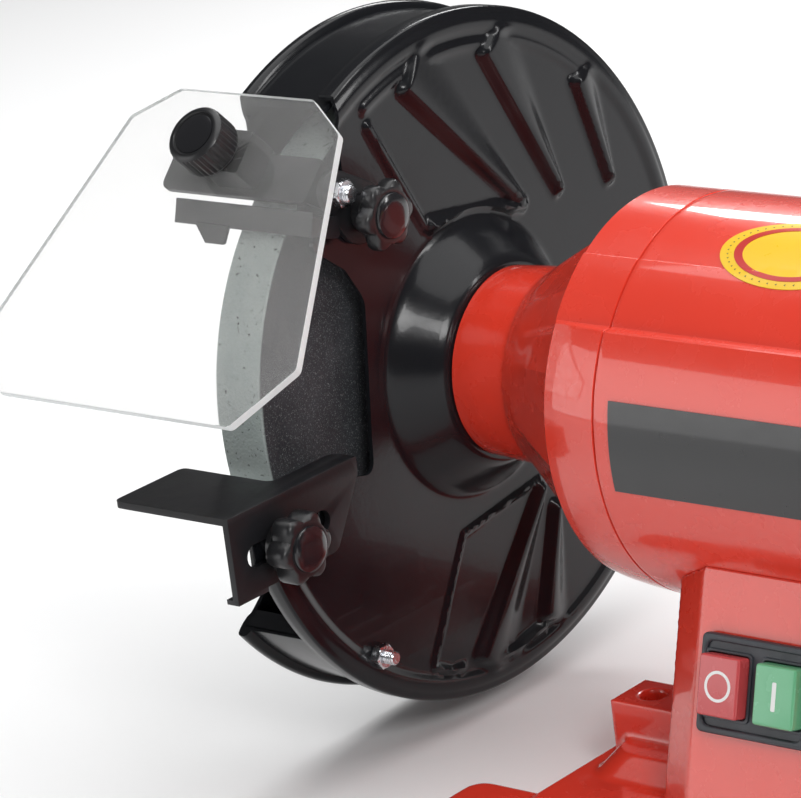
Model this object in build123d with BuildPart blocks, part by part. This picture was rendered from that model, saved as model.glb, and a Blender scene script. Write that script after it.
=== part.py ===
"""Eight inch double-ended bench grinder, built as it comes apart on a bench.

Units are millimetres.  The frame is +X along the spindle (towards the right-hand wheel),
+Y to the back and +Z up.  The origin is the middle of the four bench bolts, on the
underside of the base casting.  Each side piece is drawn once, on the left, and mirrored.
"""
from build123d import *
from math import atan2, cos, degrees, hypot, radians, sin, tan
import os

os.makedirs("parts", exist_ok=True)

# ------------------------------------------------------------------ driving dimensions
SPINDLE_Z = 131.0       # spindle axis above the underside of the base casting
PLATE_X = 163.0         # machine centre to the motor side of a guard plate

WHEEL_R = 100.0
WHEEL_W = 20.0
WHEEL_IN = 11.0         # gap from the guard plate's motor side to the wheel
BLOTTER_T = 0.6
FLANGE_R = 28.0
FLANGE_T = 4.0

GUARD_R = 122.5
GUARD_DEPTH = 41.0
SHEET = 1.6             # guard sheet metal
LIP = 7.0               # turned rim of the guard plate
BAND_R = 119.5          # outside of the cover's band, inside the plate's rim
BOSS_X = 16.0           # height of the guard plate's hub boss
BOSS_R = 35.0
BOSS_FOOT_R = 49.0

NECK_R = 33.4           # end bell neck
NECK_STEP_R = 36.0
NECK_STEP_X = 42.0
SHELL_X = 84.0          # where the bell's cone meets its skirt
SEAM_X = 106.0          # seam between bell and centre shell
BODY_R = 70.0           # lower body
CROWN_R = 67.0          # upper body, above the ledge
CAP_R = 66.5            # upper body, above the second, fainter ledge
LEDGE_LOW = 33.0        # the ledge runs between these angles above the horizontal
LEDGE_HIGH = 37.0
CAP_ANGLE = 57.5
BODY_WALL = 5.0
STATOR_R = 61.9
ROTOR_R = 33.0
AIR_GAP = 0.5
CORE_LEN = 60.0
SHAFT_R = 11.0
BEARING_X = 20.0        # outer face of each bearing, from the guard plate
BEARING_BORE_R = 8.5
BEARING_R = 20.0
BEARING_W = 12.0
THREAD_R = 7.95         # spindle ends, a running fit in the wheel bore

REST_TOP_Z = -12.0      # tool rest table, below the spindle
REST_T = 2.5
REST_FRONT_Y = -139.0
REST_BACK_Y = -104.5
REST_ARM_Y = -73.5
REST_SIDE = 4.8         # motor side of the rest's flange, from the guard plate
REST_LEFT = -47.0
REST_DROP = 29.0
KNOB_R = 12.5
STUD_R = 3.0
REST_STUD = (-116.0, -28.5)     # (y, z) from the spindle
ARM_STUD = (-52.5, 68.0)

SHIELD_TILT = 45.0
SHIELD_T = 3.0
SHIELD_X = -34.0        # middle of the shield, from the guard plate
SHIELD_YZ = (-82.5, 89.0)
PIVOT_DOWN = -6.0       # pivot, measured down the shield and behind its front face
PIVOT_BACK = 22.0

NAME_W = 50.5           # half width of the name plate
NAME_LOW = -9.8         # its lower and upper edges, in degrees above the horizontal
NAME_HIGH = 15.4
BADGE_ANGLE = 65.7
BADGE_W = 58.0
BADGE_H = 32.0

PANEL_TILT = 17.1       # the switch panel leans back by this angle
PANEL_YZ = (-70.0, 58.0)
SWITCH_W = 43.5
SWITCH_H = 32.7
BUTTON_W = 16.0
BUTTON_H = 20.0
BUTTON_X = 11.0

BENCH_X = 72.0          # bench bolt holes
BENCH_Y = 35.0
BENCH_HOLE_R = 4.5
LUG_TOP = 31.0
FOOT_H = 4.0

SPINDLE = Axis((0, 0, SPINDLE_Z), (1, 0, 0))


# ------------------------------------------------------------------ small helpers
def left(x):
    """X of a point measured from the left guard plate towards the motor."""
    return x - PLATE_X


def side_plane(x):
    """Plane across the spindle at x from the left guard plate, drawn as (y, z from spindle)."""
    return Plane(origin=(left(x), 0, SPINDLE_Z), x_dir=(0, 1, 0), z_dir=(1, 0, 0))


def polar(radius, angle):
    """(y, z) at an angle above the horizontal, on the front side."""
    return (-radius * cos(radians(angle)), radius * sin(radians(angle)))


def turned(points, mode=Mode.ADD):
    """A solid of revolution about the spindle from (x, radius) points."""
    with BuildSketch(Plane.XZ) as profile:
        Polygon(*[(x, SPINDLE_Z + r) for x, r in points], align=None)
    revolve(profile.sketch, axis=SPINDLE, mode=mode)


def ring(x0, x1, r_out, r_in=0.0, mode=Mode.ADD):
    """A plain ring or disc about the spindle."""
    with BuildSketch(Plane.YZ.offset(x0)) as section:
        with Locations((0, SPINDLE_Z)):
            Circle(r_out)
            if r_in > 0:
                Circle(r_in, mode=Mode.SUBTRACT)
    extrude(section.sketch, amount=x1 - x0, mode=mode)


def plate(plane, points, thickness, corner=0.0, mode=Mode.ADD):
    """A flat sheet piece with straight sides and rounded corners."""
    with BuildSketch(plane) as outline:
        Polygon(*points, align=None)
        if corner > 0:
            fillet(outline.vertices(), corner)
    extrude(outline.sketch, amount=thickness, mode=mode)


def rods(plane, centres, radius, length, mode=Mode.ADD):
    """Round bars or holes of one size at several centres."""
    with BuildSketch(plane) as section:
        with Locations(*centres):
            Circle(radius)
    extrude(section.sketch, amount=length, mode=mode)


def hexes(plane, centres, across, length, mode=Mode.ADD):
    """Hexagon heads or nuts, across their flats."""
    with BuildSketch(plane) as section:
        with Locations(*centres):
            RegularPolygon(across / 2, 6, major_radius=False)
    extrude(section.sketch, amount=length, mode=mode)


def save(piece, name):
    piece.part.label = name
    export_step(piece.part, f"parts/{name}.step")


def save_pair(piece, stem):
    """Write a left-hand piece, and its mirror image for the right-hand side."""
    save(piece, f"{stem}_left")
    with BuildPart() as right:
        add(piece.part.mirror(Plane.YZ))
    save(right, f"{stem}_right")


# ------------------------------------------------------------------ base and pedestal
PEDESTAL_LOW = 8.0
PEDESTAL_HIGH = 100.0
PEDESTAL_FRONT_W = 25.5     # half width of the switch panel
PEDESTAL_W = 40.0
CORNER_SET = 8.0            # the angled corner faces fall back by this much
BACK_RATIO = 0.86
CASTING_WALL = 4.0
SADDLE_Z = 56.0
PANEL = Plane(
    origin=(0, *PANEL_YZ), x_dir=(1, 0, 0),
    z_dir=(0, -cos(radians(PANEL_TILT)), sin(radians(PANEL_TILT))),
)
# (z, half width, front, back) at the foot and the top of each step of the base
APRON = ((0.0, 97.0, 106.0, 90.0), (11.0, 88.0, 96.0, 80.0))
APRON_INSIDE = ((-1.0, 93.0, 102.0, 86.0), (6.5, 84.0, 92.0, 76.0))
TIER = ((10.0, 83.0, 65.0, 65.0), (18.0, 77.0, 56.0, 56.0))
TIER_INSIDE = ((6.0, 79.0, 61.0, 61.0), (13.5, 73.0, 52.0, 52.0))
FEET = [(x, y) for x in (-88.0, 88.0) for y in (-88.0, 72.0)]
POSTS = [(x, y) for x in (-50.0, 50.0) for y in (-18.0, 18.0)]
LUGS = [(x, y) for x in (-61.0, 61.0) for y in (-BENCH_Y, BENCH_Y)]
BENCH_HOLES = [(x, y) for x in (-BENCH_X, BENCH_X) for y in (-BENCH_Y, BENCH_Y)]
MOTOR_SCREWS = [(-20.0, 0.0), (20.0, 0.0)]
GLAND_Z = 30.0


def panel_y(z):
    """Y of the switch panel at height z."""
    return PANEL_YZ[0] - (PANEL_YZ[1] - z) * tan(radians(PANEL_TILT))


def back_y(z):
    """Y of the pedestal's back wall at height z."""
    return -panel_y(z) * BACK_RATIO


def pedestal_outline(z, inset):
    """Plan section of the pedestal at height z."""
    front = panel_y(z) + inset
    back = back_y(z) - inset
    wide = PEDESTAL_W - inset
    narrow = PEDESTAL_FRONT_W - inset / 2
    return [
        (-narrow, front), (narrow, front), (wide, front + CORNER_SET),
        (wide, back - CORNER_SET), (narrow, back), (-narrow, back),
        (-wide, back - CORNER_SET), (-wide, front + CORNER_SET),
    ]


def pedestal_block(low, high, inset, mode=Mode.ADD):
    with BuildSketch(Plane.XY.offset(low)) as foot:
        Polygon(*pedestal_outline(low, inset), align=None)
    with BuildSketch(Plane.XY.offset(high)) as head:
        Polygon(*pedestal_outline(high, inset), align=None)
    loft([foot.sketch, head.sketch], ruled=True, mode=mode)


def slab(sections, corner, mode=Mode.ADD):
    """A tapered slab between two (z, half width, front, back) sections."""
    faces = []
    for z, half, front, back in sections:
        with BuildSketch(Plane.XY.offset(z)) as section:
            with Locations((0, (back - front) / 2)):
                RectangleRounded(2 * half, front + back, corner)
        faces.append(section.sketch)
    loft(faces, mode=mode)


GLAND = Plane(
    origin=(0, back_y(GLAND_Z), GLAND_Z), x_dir=(1, 0, 0),
    z_dir=(0, 1, BACK_RATIO * tan(radians(PANEL_TILT))),
)

with BuildPart() as base_casting:
    slab(APRON, 14)
    slab(TIER, 10)
    pedestal_block(PEDESTAL_LOW, PEDESTAL_HIGH, 0)
    with BuildSketch(Plane.XY) as toes:
        with Locations(*[(1.12 * x, y) for x, y in FEET]):
            RectangleRounded(44, 26, 9)
    extrude(toes.sketch, amount=8.5, taper=14)
    slab(APRON_INSIDE, 12, mode=Mode.SUBTRACT)
    slab(TIER_INSIDE, 8, mode=Mode.SUBTRACT)
    with BuildSketch(Plane.XY) as columns:
        with Locations(*LUGS):
            Rectangle(44, 20)
    extrude(columns.sketch, amount=LUG_TOP)
    rods(Plane.XY, FEET, 11, 8)
    rods(Plane.XY.offset(3.2), POSTS, 5, 12)
    pedestal_block(6.0, SADDLE_Z, CASTING_WALL, mode=Mode.SUBTRACT)
    ring(-60, 60, BODY_R, mode=Mode.SUBTRACT)
    rods(Plane.XY.offset(-1), BENCH_HOLES, BENCH_HOLE_R, LUG_TOP + 2, mode=Mode.SUBTRACT)
    rods(Plane.XY.offset(-1), FEET, 4.0, 7, mode=Mode.SUBTRACT)
    rods(Plane.XY.offset(2), POSTS, 1.9, 6, mode=Mode.SUBTRACT)
    rods(Plane.XY.offset(SADDLE_Z - 1), MOTOR_SCREWS, 3.2, 20, mode=Mode.SUBTRACT)
    with BuildSketch(PANEL) as opening:
        Rectangle(SWITCH_W - 5, SWITCH_H - 5)
    extrude(opening.sketch, amount=-34, mode=Mode.SUBTRACT)
    rods(GLAND, [(0, 0)], 8.2, -16, mode=Mode.SUBTRACT)
save(base_casting, "base_casting")

with BuildPart() as bottom_plate:
    with BuildSketch(Plane.XY.offset(1)) as outline:
        with Locations((0, -6)):
            RectangleRounded(118, 130, 6)
        with Locations(*LUGS):
            Rectangle(45, 21, mode=Mode.SUBTRACT)
        with Locations(*POSTS):
            Circle(2.2, mode=Mode.SUBTRACT)
    extrude(amount=2)
save(bottom_plate, "bottom_plate")

with BuildPart() as bottom_plate_screws:
    rods(Plane.XY.offset(-0.8), POSTS, 3.8, 1.8)
    rods(Plane.XY.offset(1.0), POSTS, 1.9, 5)
save(bottom_plate_screws, "bottom_plate_screws")

with BuildPart() as rubber_feet:
    rods(Plane.XY.offset(-FOOT_H), FEET, 10, FOOT_H)
    rods(Plane.XY, FEET, 4, 6)
save(rubber_feet, "rubber_feet")

# ------------------------------------------------------------------ motor body
CENTRE_X = PLATE_X - SEAM_X     # half length of the centre shell
TIE_ANGLES = (20, 160, 200, 340)
TIE_POINTS = [polar(57.0, a) for a in TIE_ANGLES]
TIE_BOLT_R = 2.5
TIE_SEAT_X = 80.0       # where the tie bolts' heads sit in the right bell
GUARD_SCREWS = [polar(27.0, a) for a in (45, 135, 225, 315)]
WINDING_X = 42.0
OVERHANG = 140.0


def above_ledge(x0, x1, r_keep, low, high):
    """Cut away what stands above the ledge, outside the radius that is kept."""
    right_side = [(-y, z) for y, z in (polar(OVERHANG, low), polar(BODY_R + 1, low))]
    left_side = [polar(BODY_R + 1, low), polar(OVERHANG, low)]
    with BuildSketch(Plane(origin=(x0, 0, SPINDLE_Z), x_dir=(0, 1, 0), z_dir=(1, 0, 0))) as cut:
        Polygon(
            *left_side, (-OVERHANG, OVERHANG), (OVERHANG, OVERHANG), *right_side,
            (r_keep * cos(radians(high)), r_keep * sin(radians(high))),
            polar(r_keep, high), align=None,
        )
        Circle(r_keep, mode=Mode.SUBTRACT)
    extrude(cut.sketch, amount=x1 - x0, mode=Mode.SUBTRACT)


def crown(x0, x1):
    """The stepped upper half of the motor's section."""
    above_ledge(x0, x1, CROWN_R, LEDGE_LOW, LEDGE_HIGH)
    above_ledge(x0, x1, CAP_R, CAP_ANGLE - 1, CAP_ANGLE)


with BuildPart() as motor_shell:
    ring(-CENTRE_X, CENTRE_X, BODY_R, STATOR_R)
    crown(-CENTRE_X, CENTRE_X)
    rods(Plane.XY.offset(SPINDLE_Z - BODY_R - 1), MOTOR_SCREWS, 3.0, 12, mode=Mode.SUBTRACT)
save(motor_shell, "motor_shell")

with BuildPart() as pedestal_screws:
    hexes(Plane.XY.offset(SADDLE_Z - 5), MOTOR_SCREWS, 10, 5)
    rods(Plane.XY.offset(SADDLE_Z), MOTOR_SCREWS, 3, 11)
save(pedestal_screws, "pedestal_screws")


def bell():
    """Left end bell: neck, cone, skirt, hollow, a bearing seat and the guard's screw holes."""
    turned([
        (left(BOSS_X), 14), (left(BOSS_X), NECK_R), (left(NECK_STEP_X - 4), NECK_R + 1.4),
        (left(NECK_STEP_X), NECK_STEP_R), (left(SHELL_X - 3), 63.0), (left(SHELL_X), CAP_R + 0.4),
        (left(SEAM_X), BODY_R), (left(SEAM_X), BODY_R - 8),
        (left(SHELL_X + 2), CAP_R - BODY_WALL), (left(NECK_STEP_X + 10), 38.0),
        (left(NECK_STEP_X - 4), 25.0), (left(NECK_STEP_X - 4), BEARING_R),
        (left(BEARING_X), BEARING_R), (left(BEARING_X), 14),
    ])
    crown(left(SHELL_X), left(SEAM_X))
    rods(side_plane(BOSS_X), GUARD_SCREWS, 2.5, 10, mode=Mode.SUBTRACT)


with BuildPart() as end_bell_left:
    bell()
    rods(side_plane(SEAM_X - 14), TIE_POINTS, 6.0, 14)
    rods(side_plane(SEAM_X - 12), TIE_POINTS, TIE_BOLT_R, 12, mode=Mode.SUBTRACT)
save(end_bell_left, "end_bell_left")

with BuildPart() as bell_blank:
    bell()
    rods(side_plane(TIE_SEAT_X), TIE_POINTS, 6.8, SEAM_X - TIE_SEAT_X)
    rods(side_plane(TIE_SEAT_X - 22), TIE_POINTS, 5.4, 22, mode=Mode.SUBTRACT)
    rods(side_plane(TIE_SEAT_X), TIE_POINTS, TIE_BOLT_R + 0.1, 40, mode=Mode.SUBTRACT)
with BuildPart() as end_bell_right:
    add(bell_blank.part.mirror(Plane.YZ))
save(end_bell_right, "end_bell_right")

with BuildPart() as stator_core:
    ring(-CORE_LEN / 2, CORE_LEN / 2, STATOR_R, ROTOR_R + AIR_GAP)
    with BuildSketch(Plane.YZ.offset(-CORE_LEN / 2)) as slots:
        with Locations((0, SPINDLE_Z)):
            with PolarLocations(44.5, 24):
                SlotOverall(14, 3.6)
        with Locations(*[(y, SPINDLE_Z + z) for y, z in TIE_POINTS]):
            Circle(2.8)
    extrude(slots.sketch, amount=CORE_LEN, mode=Mode.SUBTRACT)
save(stator_core, "stator_core")

with BuildPart() as stator_windings:
    for x0, x1 in ((-WINDING_X, -CORE_LEN / 2), (CORE_LEN / 2, WINDING_X)):
        ring(x0, x1, 52, 37)
    fillet(stator_windings.edges().filter_by(GeomType.CIRCLE), 4)
save(stator_windings, "stator_windings")

with BuildPart() as tie_bolts:
    tip = Plane(origin=(-CENTRE_X - 11, 0, SPINDLE_Z), x_dir=(0, 1, 0), z_dir=(1, 0, 0))
    seat = PLATE_X - TIE_SEAT_X
    rods(tip, TIE_POINTS, TIE_BOLT_R, CENTRE_X + 11 + seat)
    hexes(tip.offset(CENTRE_X + 11 + seat), TIE_POINTS, 8, 3.5)
save(tie_bolts, "tie_bolts")

with BuildPart() as name_plate:
    with BuildSketch(Plane.YZ.offset(-NAME_W)) as section:
        with Locations((0, SPINDLE_Z)):
            Circle(BODY_R + 0.8)
            Circle(BODY_R, mode=Mode.SUBTRACT)
        far_points = [polar(100, NAME_LOW), polar(100, NAME_HIGH)]
        Polygon((0, SPINDLE_Z), *[(y, SPINDLE_Z + z) for y, z in far_points], align=None,
                mode=Mode.INTERSECT)
    extrude(amount=2 * NAME_W)
save(name_plate, "name_plate")

badge_y, badge_z = polar(1, BADGE_ANGLE)
BADGE = Plane(origin=(0, 50 * badge_y, SPINDLE_Z + 50 * badge_z), x_dir=(1, 0, 0),
              z_dir=(0, badge_y, badge_z))
with BuildPart() as oval_badge:
    ring(-BADGE_W, BADGE_W, CROWN_R + 0.5, CAP_R)
    with BuildSketch(BADGE):
        Ellipse(BADGE_W / 2, BADGE_H / 2)
    extrude(amount=30, mode=Mode.INTERSECT)
    add(motor_shell.part, mode=Mode.SUBTRACT)
save(oval_badge, "oval_badge")

# ------------------------------------------------------------------ switch and wiring parts
FRAME_T = 3.5
SLEEVE = 9.0            # the frame's sleeve reaches this far behind the panel
BUTTON_PROUD = 8.0
WINDOWS = [(-BUTTON_X, 0), (BUTTON_X, 0)]

with BuildPart() as switch_frame:
    with BuildSketch(PANEL) as flange:
        RectangleRounded(SWITCH_W, SWITCH_H, 2.5)
    extrude(flange.sketch, amount=FRAME_T)
    with BuildSketch(PANEL) as sleeve:
        Rectangle(SWITCH_W - 6, SWITCH_H - 6)
    extrude(sleeve.sketch, amount=-SLEEVE)
    with BuildSketch(PANEL.offset(FRAME_T)) as windows:
        with Locations(*WINDOWS):
            Rectangle(BUTTON_W + 0.6, BUTTON_H + 0.6)
    extrude(windows.sketch, amount=-FRAME_T - SLEEVE, mode=Mode.SUBTRACT)
save(switch_frame, "switch_frame")


def button(x):
    with BuildSketch(PANEL.offset(-5.5)) as key:
        with Locations((x, 0)):
            RectangleRounded(BUTTON_W, BUTTON_H, 1.0)
    extrude(key.sketch, amount=5.5 + BUTTON_PROUD)
    rods(PANEL.offset(-13), [(x, 0)], 2.5, 8)


with BuildPart() as stop_button:
    button(-BUTTON_X)
save(stop_button, "stop_button")

with BuildPart() as start_button:
    button(BUTTON_X)
save(start_button, "start_button")

with BuildPart() as switch_body:
    with BuildSketch(PANEL.offset(-SLEEVE)) as case:
        Rectangle(SWITCH_W - 8, SWITCH_H - 8)
    extrude(case.sketch, amount=-18)
    with BuildSketch(PANEL.offset(-SLEEVE - 18)) as tabs:
        with Locations(*[(x, y) for x in (-11, 11) for y in (-6, 6)]):
            Rectangle(6.3, 0.8)
    extrude(tabs.sketch, amount=-7)
    rods(PANEL.offset(-SLEEVE - 8), WINDOWS, 2.55, 8, mode=Mode.SUBTRACT)
save(switch_body, "switch_body")

with BuildPart() as run_capacitor:
    with BuildSketch(Plane.YZ.offset(-28)) as can:
        with Locations((32, 20)):
            Circle(16)
    extrude(can.sketch, amount=56)
    with BuildSketch(Plane.XY.offset(3)) as saddle:
        with Locations((0, 32)):
            Rectangle(40, 18)
    extrude(saddle.sketch, amount=6)
    with BuildSketch(Plane.YZ.offset(28)) as lugs:
        with Locations((28, 20), (36, 20)):
            Rectangle(0.8, 6.3)
    extrude(lugs.sketch, amount=6)
save(run_capacitor, "run_capacitor")

with BuildPart() as terminal_block:
    with BuildSketch(Plane.XY.offset(3)) as foot:
        with Locations((0, -20)):
            Rectangle(44, 18)
    extrude(foot.sketch, amount=8)
    with BuildSketch(Plane.XY.offset(11)) as towers:
        with Locations(*[(x, -20) for x in (-17.6, -8.8, 0, 8.8, 17.6)]):
            Rectangle(6.4, 10)
    extrude(towers.sketch, amount=7)
    rods(Plane.XY.offset(18), [(x, -20) for x in (-17.6, -8.8, 0, 8.8, 17.6)], 2, -5,
         mode=Mode.SUBTRACT)
save(terminal_block, "terminal_block")

with BuildPart() as cable_gland:
    rods(GLAND, [(0, 0)], 12, 3)
    rods(GLAND, [(0, 0)], 8.0, -10)
    hexes(GLAND.offset(3), [(0, 0)], 19, 8)
    rods(GLAND.offset(11), [(0, 0)], 7.5, 4)
    rods(GLAND.offset(15), [(0, 0)], 4.5, -25, mode=Mode.SUBTRACT)
save(cable_gland, "cable_gland")

# ------------------------------------------------------------------ rotor
SHOULDER_X = BEARING_X + BEARING_W
INNER_FLANGE_X = -4.4       # motor side of the inner flange, from the guard plate
THREAD_END_X = -46.0
BALL_R = 3.4
BALL_PITCH_R = 14.25
BALLS = 8
RACE = 2.35                 # half the gap between the rings' lands
WHEEL_X = -WHEEL_IN - WHEEL_W

with BuildPart() as spindle:
    turned([
        (left(THREAD_END_X), 0), (left(THREAD_END_X), THREAD_R - 1),
        (left(THREAD_END_X + 1), THREAD_R), (left(INNER_FLANGE_X), THREAD_R),
        (left(INNER_FLANGE_X), BEARING_BORE_R), (left(SHOULDER_X), BEARING_BORE_R),
        (left(SHOULDER_X), SHAFT_R), (0, SHAFT_R), (0, 0),
    ])
    mirror(about=Plane.YZ)
save(spindle, "spindle")

with BuildPart() as rotor_core:
    ring(-CORE_LEN / 2, CORE_LEN / 2, ROTOR_R, SHAFT_R)
    for x0, x1 in ((-CORE_LEN / 2 - 5, -CORE_LEN / 2), (CORE_LEN / 2, CORE_LEN / 2 + 5)):
        ring(x0, x1, ROTOR_R - 3, ROTOR_R - 12)
save(rotor_core, "rotor_core")


def races(r_out, r_in):
    """Both bearings' rings between two radii, with the ball groove cut."""
    ring(left(BEARING_X), left(BEARING_X + BEARING_W), r_out, r_in)
    with BuildSketch(Plane.XZ) as groove:
        with Locations((left(BEARING_X + BEARING_W / 2), SPINDLE_Z + BALL_PITCH_R)):
            Circle(BALL_R + 0.05)
    revolve(groove.sketch, axis=SPINDLE, mode=Mode.SUBTRACT)


with BuildPart() as bearing_outer_rings:
    races(BEARING_R, BALL_PITCH_R + RACE)
    mirror(about=Plane.YZ)
save(bearing_outer_rings, "bearing_outer_rings")

with BuildPart() as bearing_inner_rings:
    races(BALL_PITCH_R - RACE, BEARING_BORE_R)
    mirror(about=Plane.YZ)
save(bearing_inner_rings, "bearing_inner_rings")

with BuildPart() as bearing_balls:
    for k in range(BALLS):
        y, z = polar(BALL_PITCH_R, 360 * k / BALLS + 10)
        with Locations((left(BEARING_X + BEARING_W / 2), y, SPINDLE_Z + z)):
            Sphere(BALL_R)
    mirror(about=Plane.YZ)
save(bearing_balls, "bearing_balls")

with BuildPart() as wheel_flanges:
    turned([
        (left(INNER_FLANGE_X), BEARING_BORE_R - 0.5), (left(INNER_FLANGE_X), 15),
        (left(INNER_FLANGE_X - 2), FLANGE_R - 1), (left(-WHEEL_IN + BLOTTER_T), FLANGE_R),
        (left(-WHEEL_IN + BLOTTER_T), THREAD_R), (left(INNER_FLANGE_X), THREAD_R),
    ])
    turned([
        (left(WHEEL_X - BLOTTER_T), THREAD_R), (left(WHEEL_X - BLOTTER_T), FLANGE_R),
        (left(WHEEL_X - BLOTTER_T - 2), FLANGE_R - 1), (left(WHEEL_X - BLOTTER_T - FLANGE_T), 15),
        (left(WHEEL_X - BLOTTER_T - FLANGE_T), THREAD_R),
    ])
    mirror(about=Plane.YZ)
save(wheel_flanges, "wheel_flanges")

with BuildPart() as wheel_blotters:
    for x in (WHEEL_X - BLOTTER_T, -WHEEL_IN):
        ring(left(x), left(x + BLOTTER_T), FLANGE_R + 1, THREAD_R + 0.05)
    mirror(about=Plane.YZ)
save(wheel_blotters, "wheel_blotters")

with BuildPart() as grinding_wheel:
    ring(left(WHEEL_X), left(-WHEEL_IN), WHEEL_R, THREAD_R + 0.05)
    chamfer(grinding_wheel.edges().filter_by(GeomType.CIRCLE).sort_by(SortBy.RADIUS)[-2:], 0.8)
save_pair(grinding_wheel, "grinding_wheel")

with BuildPart() as spindle_nuts:
    nut_plane = side_plane(WHEEL_X - BLOTTER_T - FLANGE_T)
    hexes(nut_plane, [(0, 0)], 24, -8)
    rods(nut_plane, [(0, 0)], THREAD_R, -8, mode=Mode.SUBTRACT)
    mirror(about=Plane.YZ)
save(spindle_nuts, "spindle_nuts")

# ------------------------------------------------------------------ wheel guards
NOTCH = (
    (-55.6, 109.2), (-57, 70), (-77, 62), (-61.4, 50), (-53.5, 37), (-59, -12), (-60, -24),
    (-75, -20), (-121.5, -15), (-160, -15), (-160, 126), (-55.6, 126),
)
MOUTH_Y = -57.0
MOUTH_ANGLE = -38.3
MOUTH = (
    (MOUTH_Y, -38), (MOUTH_Y, 140), (-170, 140), (-170, 170 * tan(radians(MOUTH_ANGLE))),
    polar(82, MOUTH_ANGLE),
)
DOME_X = -50.0
COVER_POINTS = [polar(111.6, a) for a in (-51, -140, -184)]

with BuildPart() as guard_plate:
    turned([
        (left(BOSS_X), 16), (left(BOSS_X), BOSS_R), (left(0), BOSS_FOOT_R),
        (left(0), GUARD_R - 1), (left(-1), GUARD_R), (left(-LIP), GUARD_R),
        (left(-LIP), GUARD_R - SHEET), (left(-SHEET), GUARD_R - SHEET),
        (left(-SHEET), BOSS_FOOT_R - 1.2), (left(BOSS_X - SHEET), BOSS_R - 1.2),
        (left(BOSS_X - SHEET), 16),
    ])
    plate(side_plane(-LIP - 1), NOTCH, 9, mode=Mode.SUBTRACT)
    rods(side_plane(-LIP - 1), [REST_STUD], 9, 9, mode=Mode.SUBTRACT)
    hexes(side_plane(-SHEET), [ARM_STUD], 10, -4)
    rods(side_plane(-6), [ARM_STUD], STUD_R + 0.05, 7, mode=Mode.SUBTRACT)
    rods(side_plane(-6), COVER_POINTS, 2.6, 7, mode=Mode.SUBTRACT)
    rods(side_plane(12), GUARD_SCREWS, 2.7, 6, mode=Mode.SUBTRACT)
save_pair(guard_plate, "guard_plate")

with BuildPart() as guard_cover:
    turned([
        (left(DOME_X), 0), (left(DOME_X), 36), (left(-GUARD_DEPTH), 44),
        (left(-GUARD_DEPTH), GUARD_R - 1), (left(-GUARD_DEPTH + 1), GUARD_R),
        (left(-GUARD_DEPTH + 4), GUARD_R), (left(-GUARD_DEPTH + 5), BAND_R),
        (left(-3), BAND_R), (left(-3), BAND_R - SHEET), (left(-GUARD_DEPTH + SHEET), BAND_R - SHEET),
        (left(-GUARD_DEPTH + SHEET), 43.3), (left(DOME_X + SHEET), 35.3), (left(DOME_X + SHEET), 0),
    ])
    plate(side_plane(DOME_X - 2), MOUTH, 52, mode=Mode.SUBTRACT)
    lip_in = polar(112.5, MOUTH_ANGLE)
    lip_out = polar(BAND_R - 0.5, MOUTH_ANGLE)
    lip_y = -SHEET * sin(radians(MOUTH_ANGLE))
    lip_z = -SHEET * cos(radians(MOUTH_ANGLE))
    lip = (lip_in, lip_out, (lip_out[0] + lip_y, lip_out[1] + lip_z),
           (lip_in[0] + lip_y, lip_in[1] + lip_z))
    plate(side_plane(-GUARD_DEPTH + SHEET), lip, GUARD_DEPTH - SHEET - 3)
    for y, z in COVER_POINTS:
        grow = (BAND_R - 0.8) / hypot(y, z)
        with BuildSketch(side_plane(-SHEET - 3)) as tab:
            with Locations(Location((y * (1 + grow) / 2, z * (1 + grow) / 2, 0), degrees(atan2(z, y)))):
                Rectangle((grow - 1) * hypot(y, z), 14)
            with Locations((y, z)):
                Circle(7)
        extrude(tab.sketch, amount=3)
    rods(side_plane(-6), COVER_POINTS, 2.6, 6, mode=Mode.SUBTRACT)
save_pair(guard_cover, "guard_cover")

with BuildPart() as cover_screws:
    hexes(side_plane(-SHEET - 3), COVER_POINTS, 8, -3.5)
    rods(side_plane(-SHEET - 3), COVER_POINTS, 2.45, 13)
    hexes(side_plane(0), COVER_POINTS, 8, 4)
    mirror(about=Plane.YZ)
save(cover_screws, "cover_screws")

with BuildPart() as guard_screws:
    hexes(side_plane(BOSS_X - SHEET), GUARD_SCREWS, 8, -3.5)
    rods(side_plane(BOSS_X - SHEET), GUARD_SCREWS, 2.5, 10)
    mirror(about=Plane.YZ)
save(guard_screws, "guard_screws")

# ------------------------------------------------------------------ tool rests
SLOT_Y = (-132.0, -90.0)

with BuildPart() as rest_bracket:
    plate(side_plane(0), ((-126, -40), (-92, -40), (-92, -17), (-126, -15.5)), 2, corner=3)
    hexes(side_plane(0), [REST_STUD], 10, -4)
    rods(side_plane(-5), [REST_STUD], STUD_R + 0.05, 8, mode=Mode.SUBTRACT)
save_pair(rest_bracket, "rest_bracket")

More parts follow.
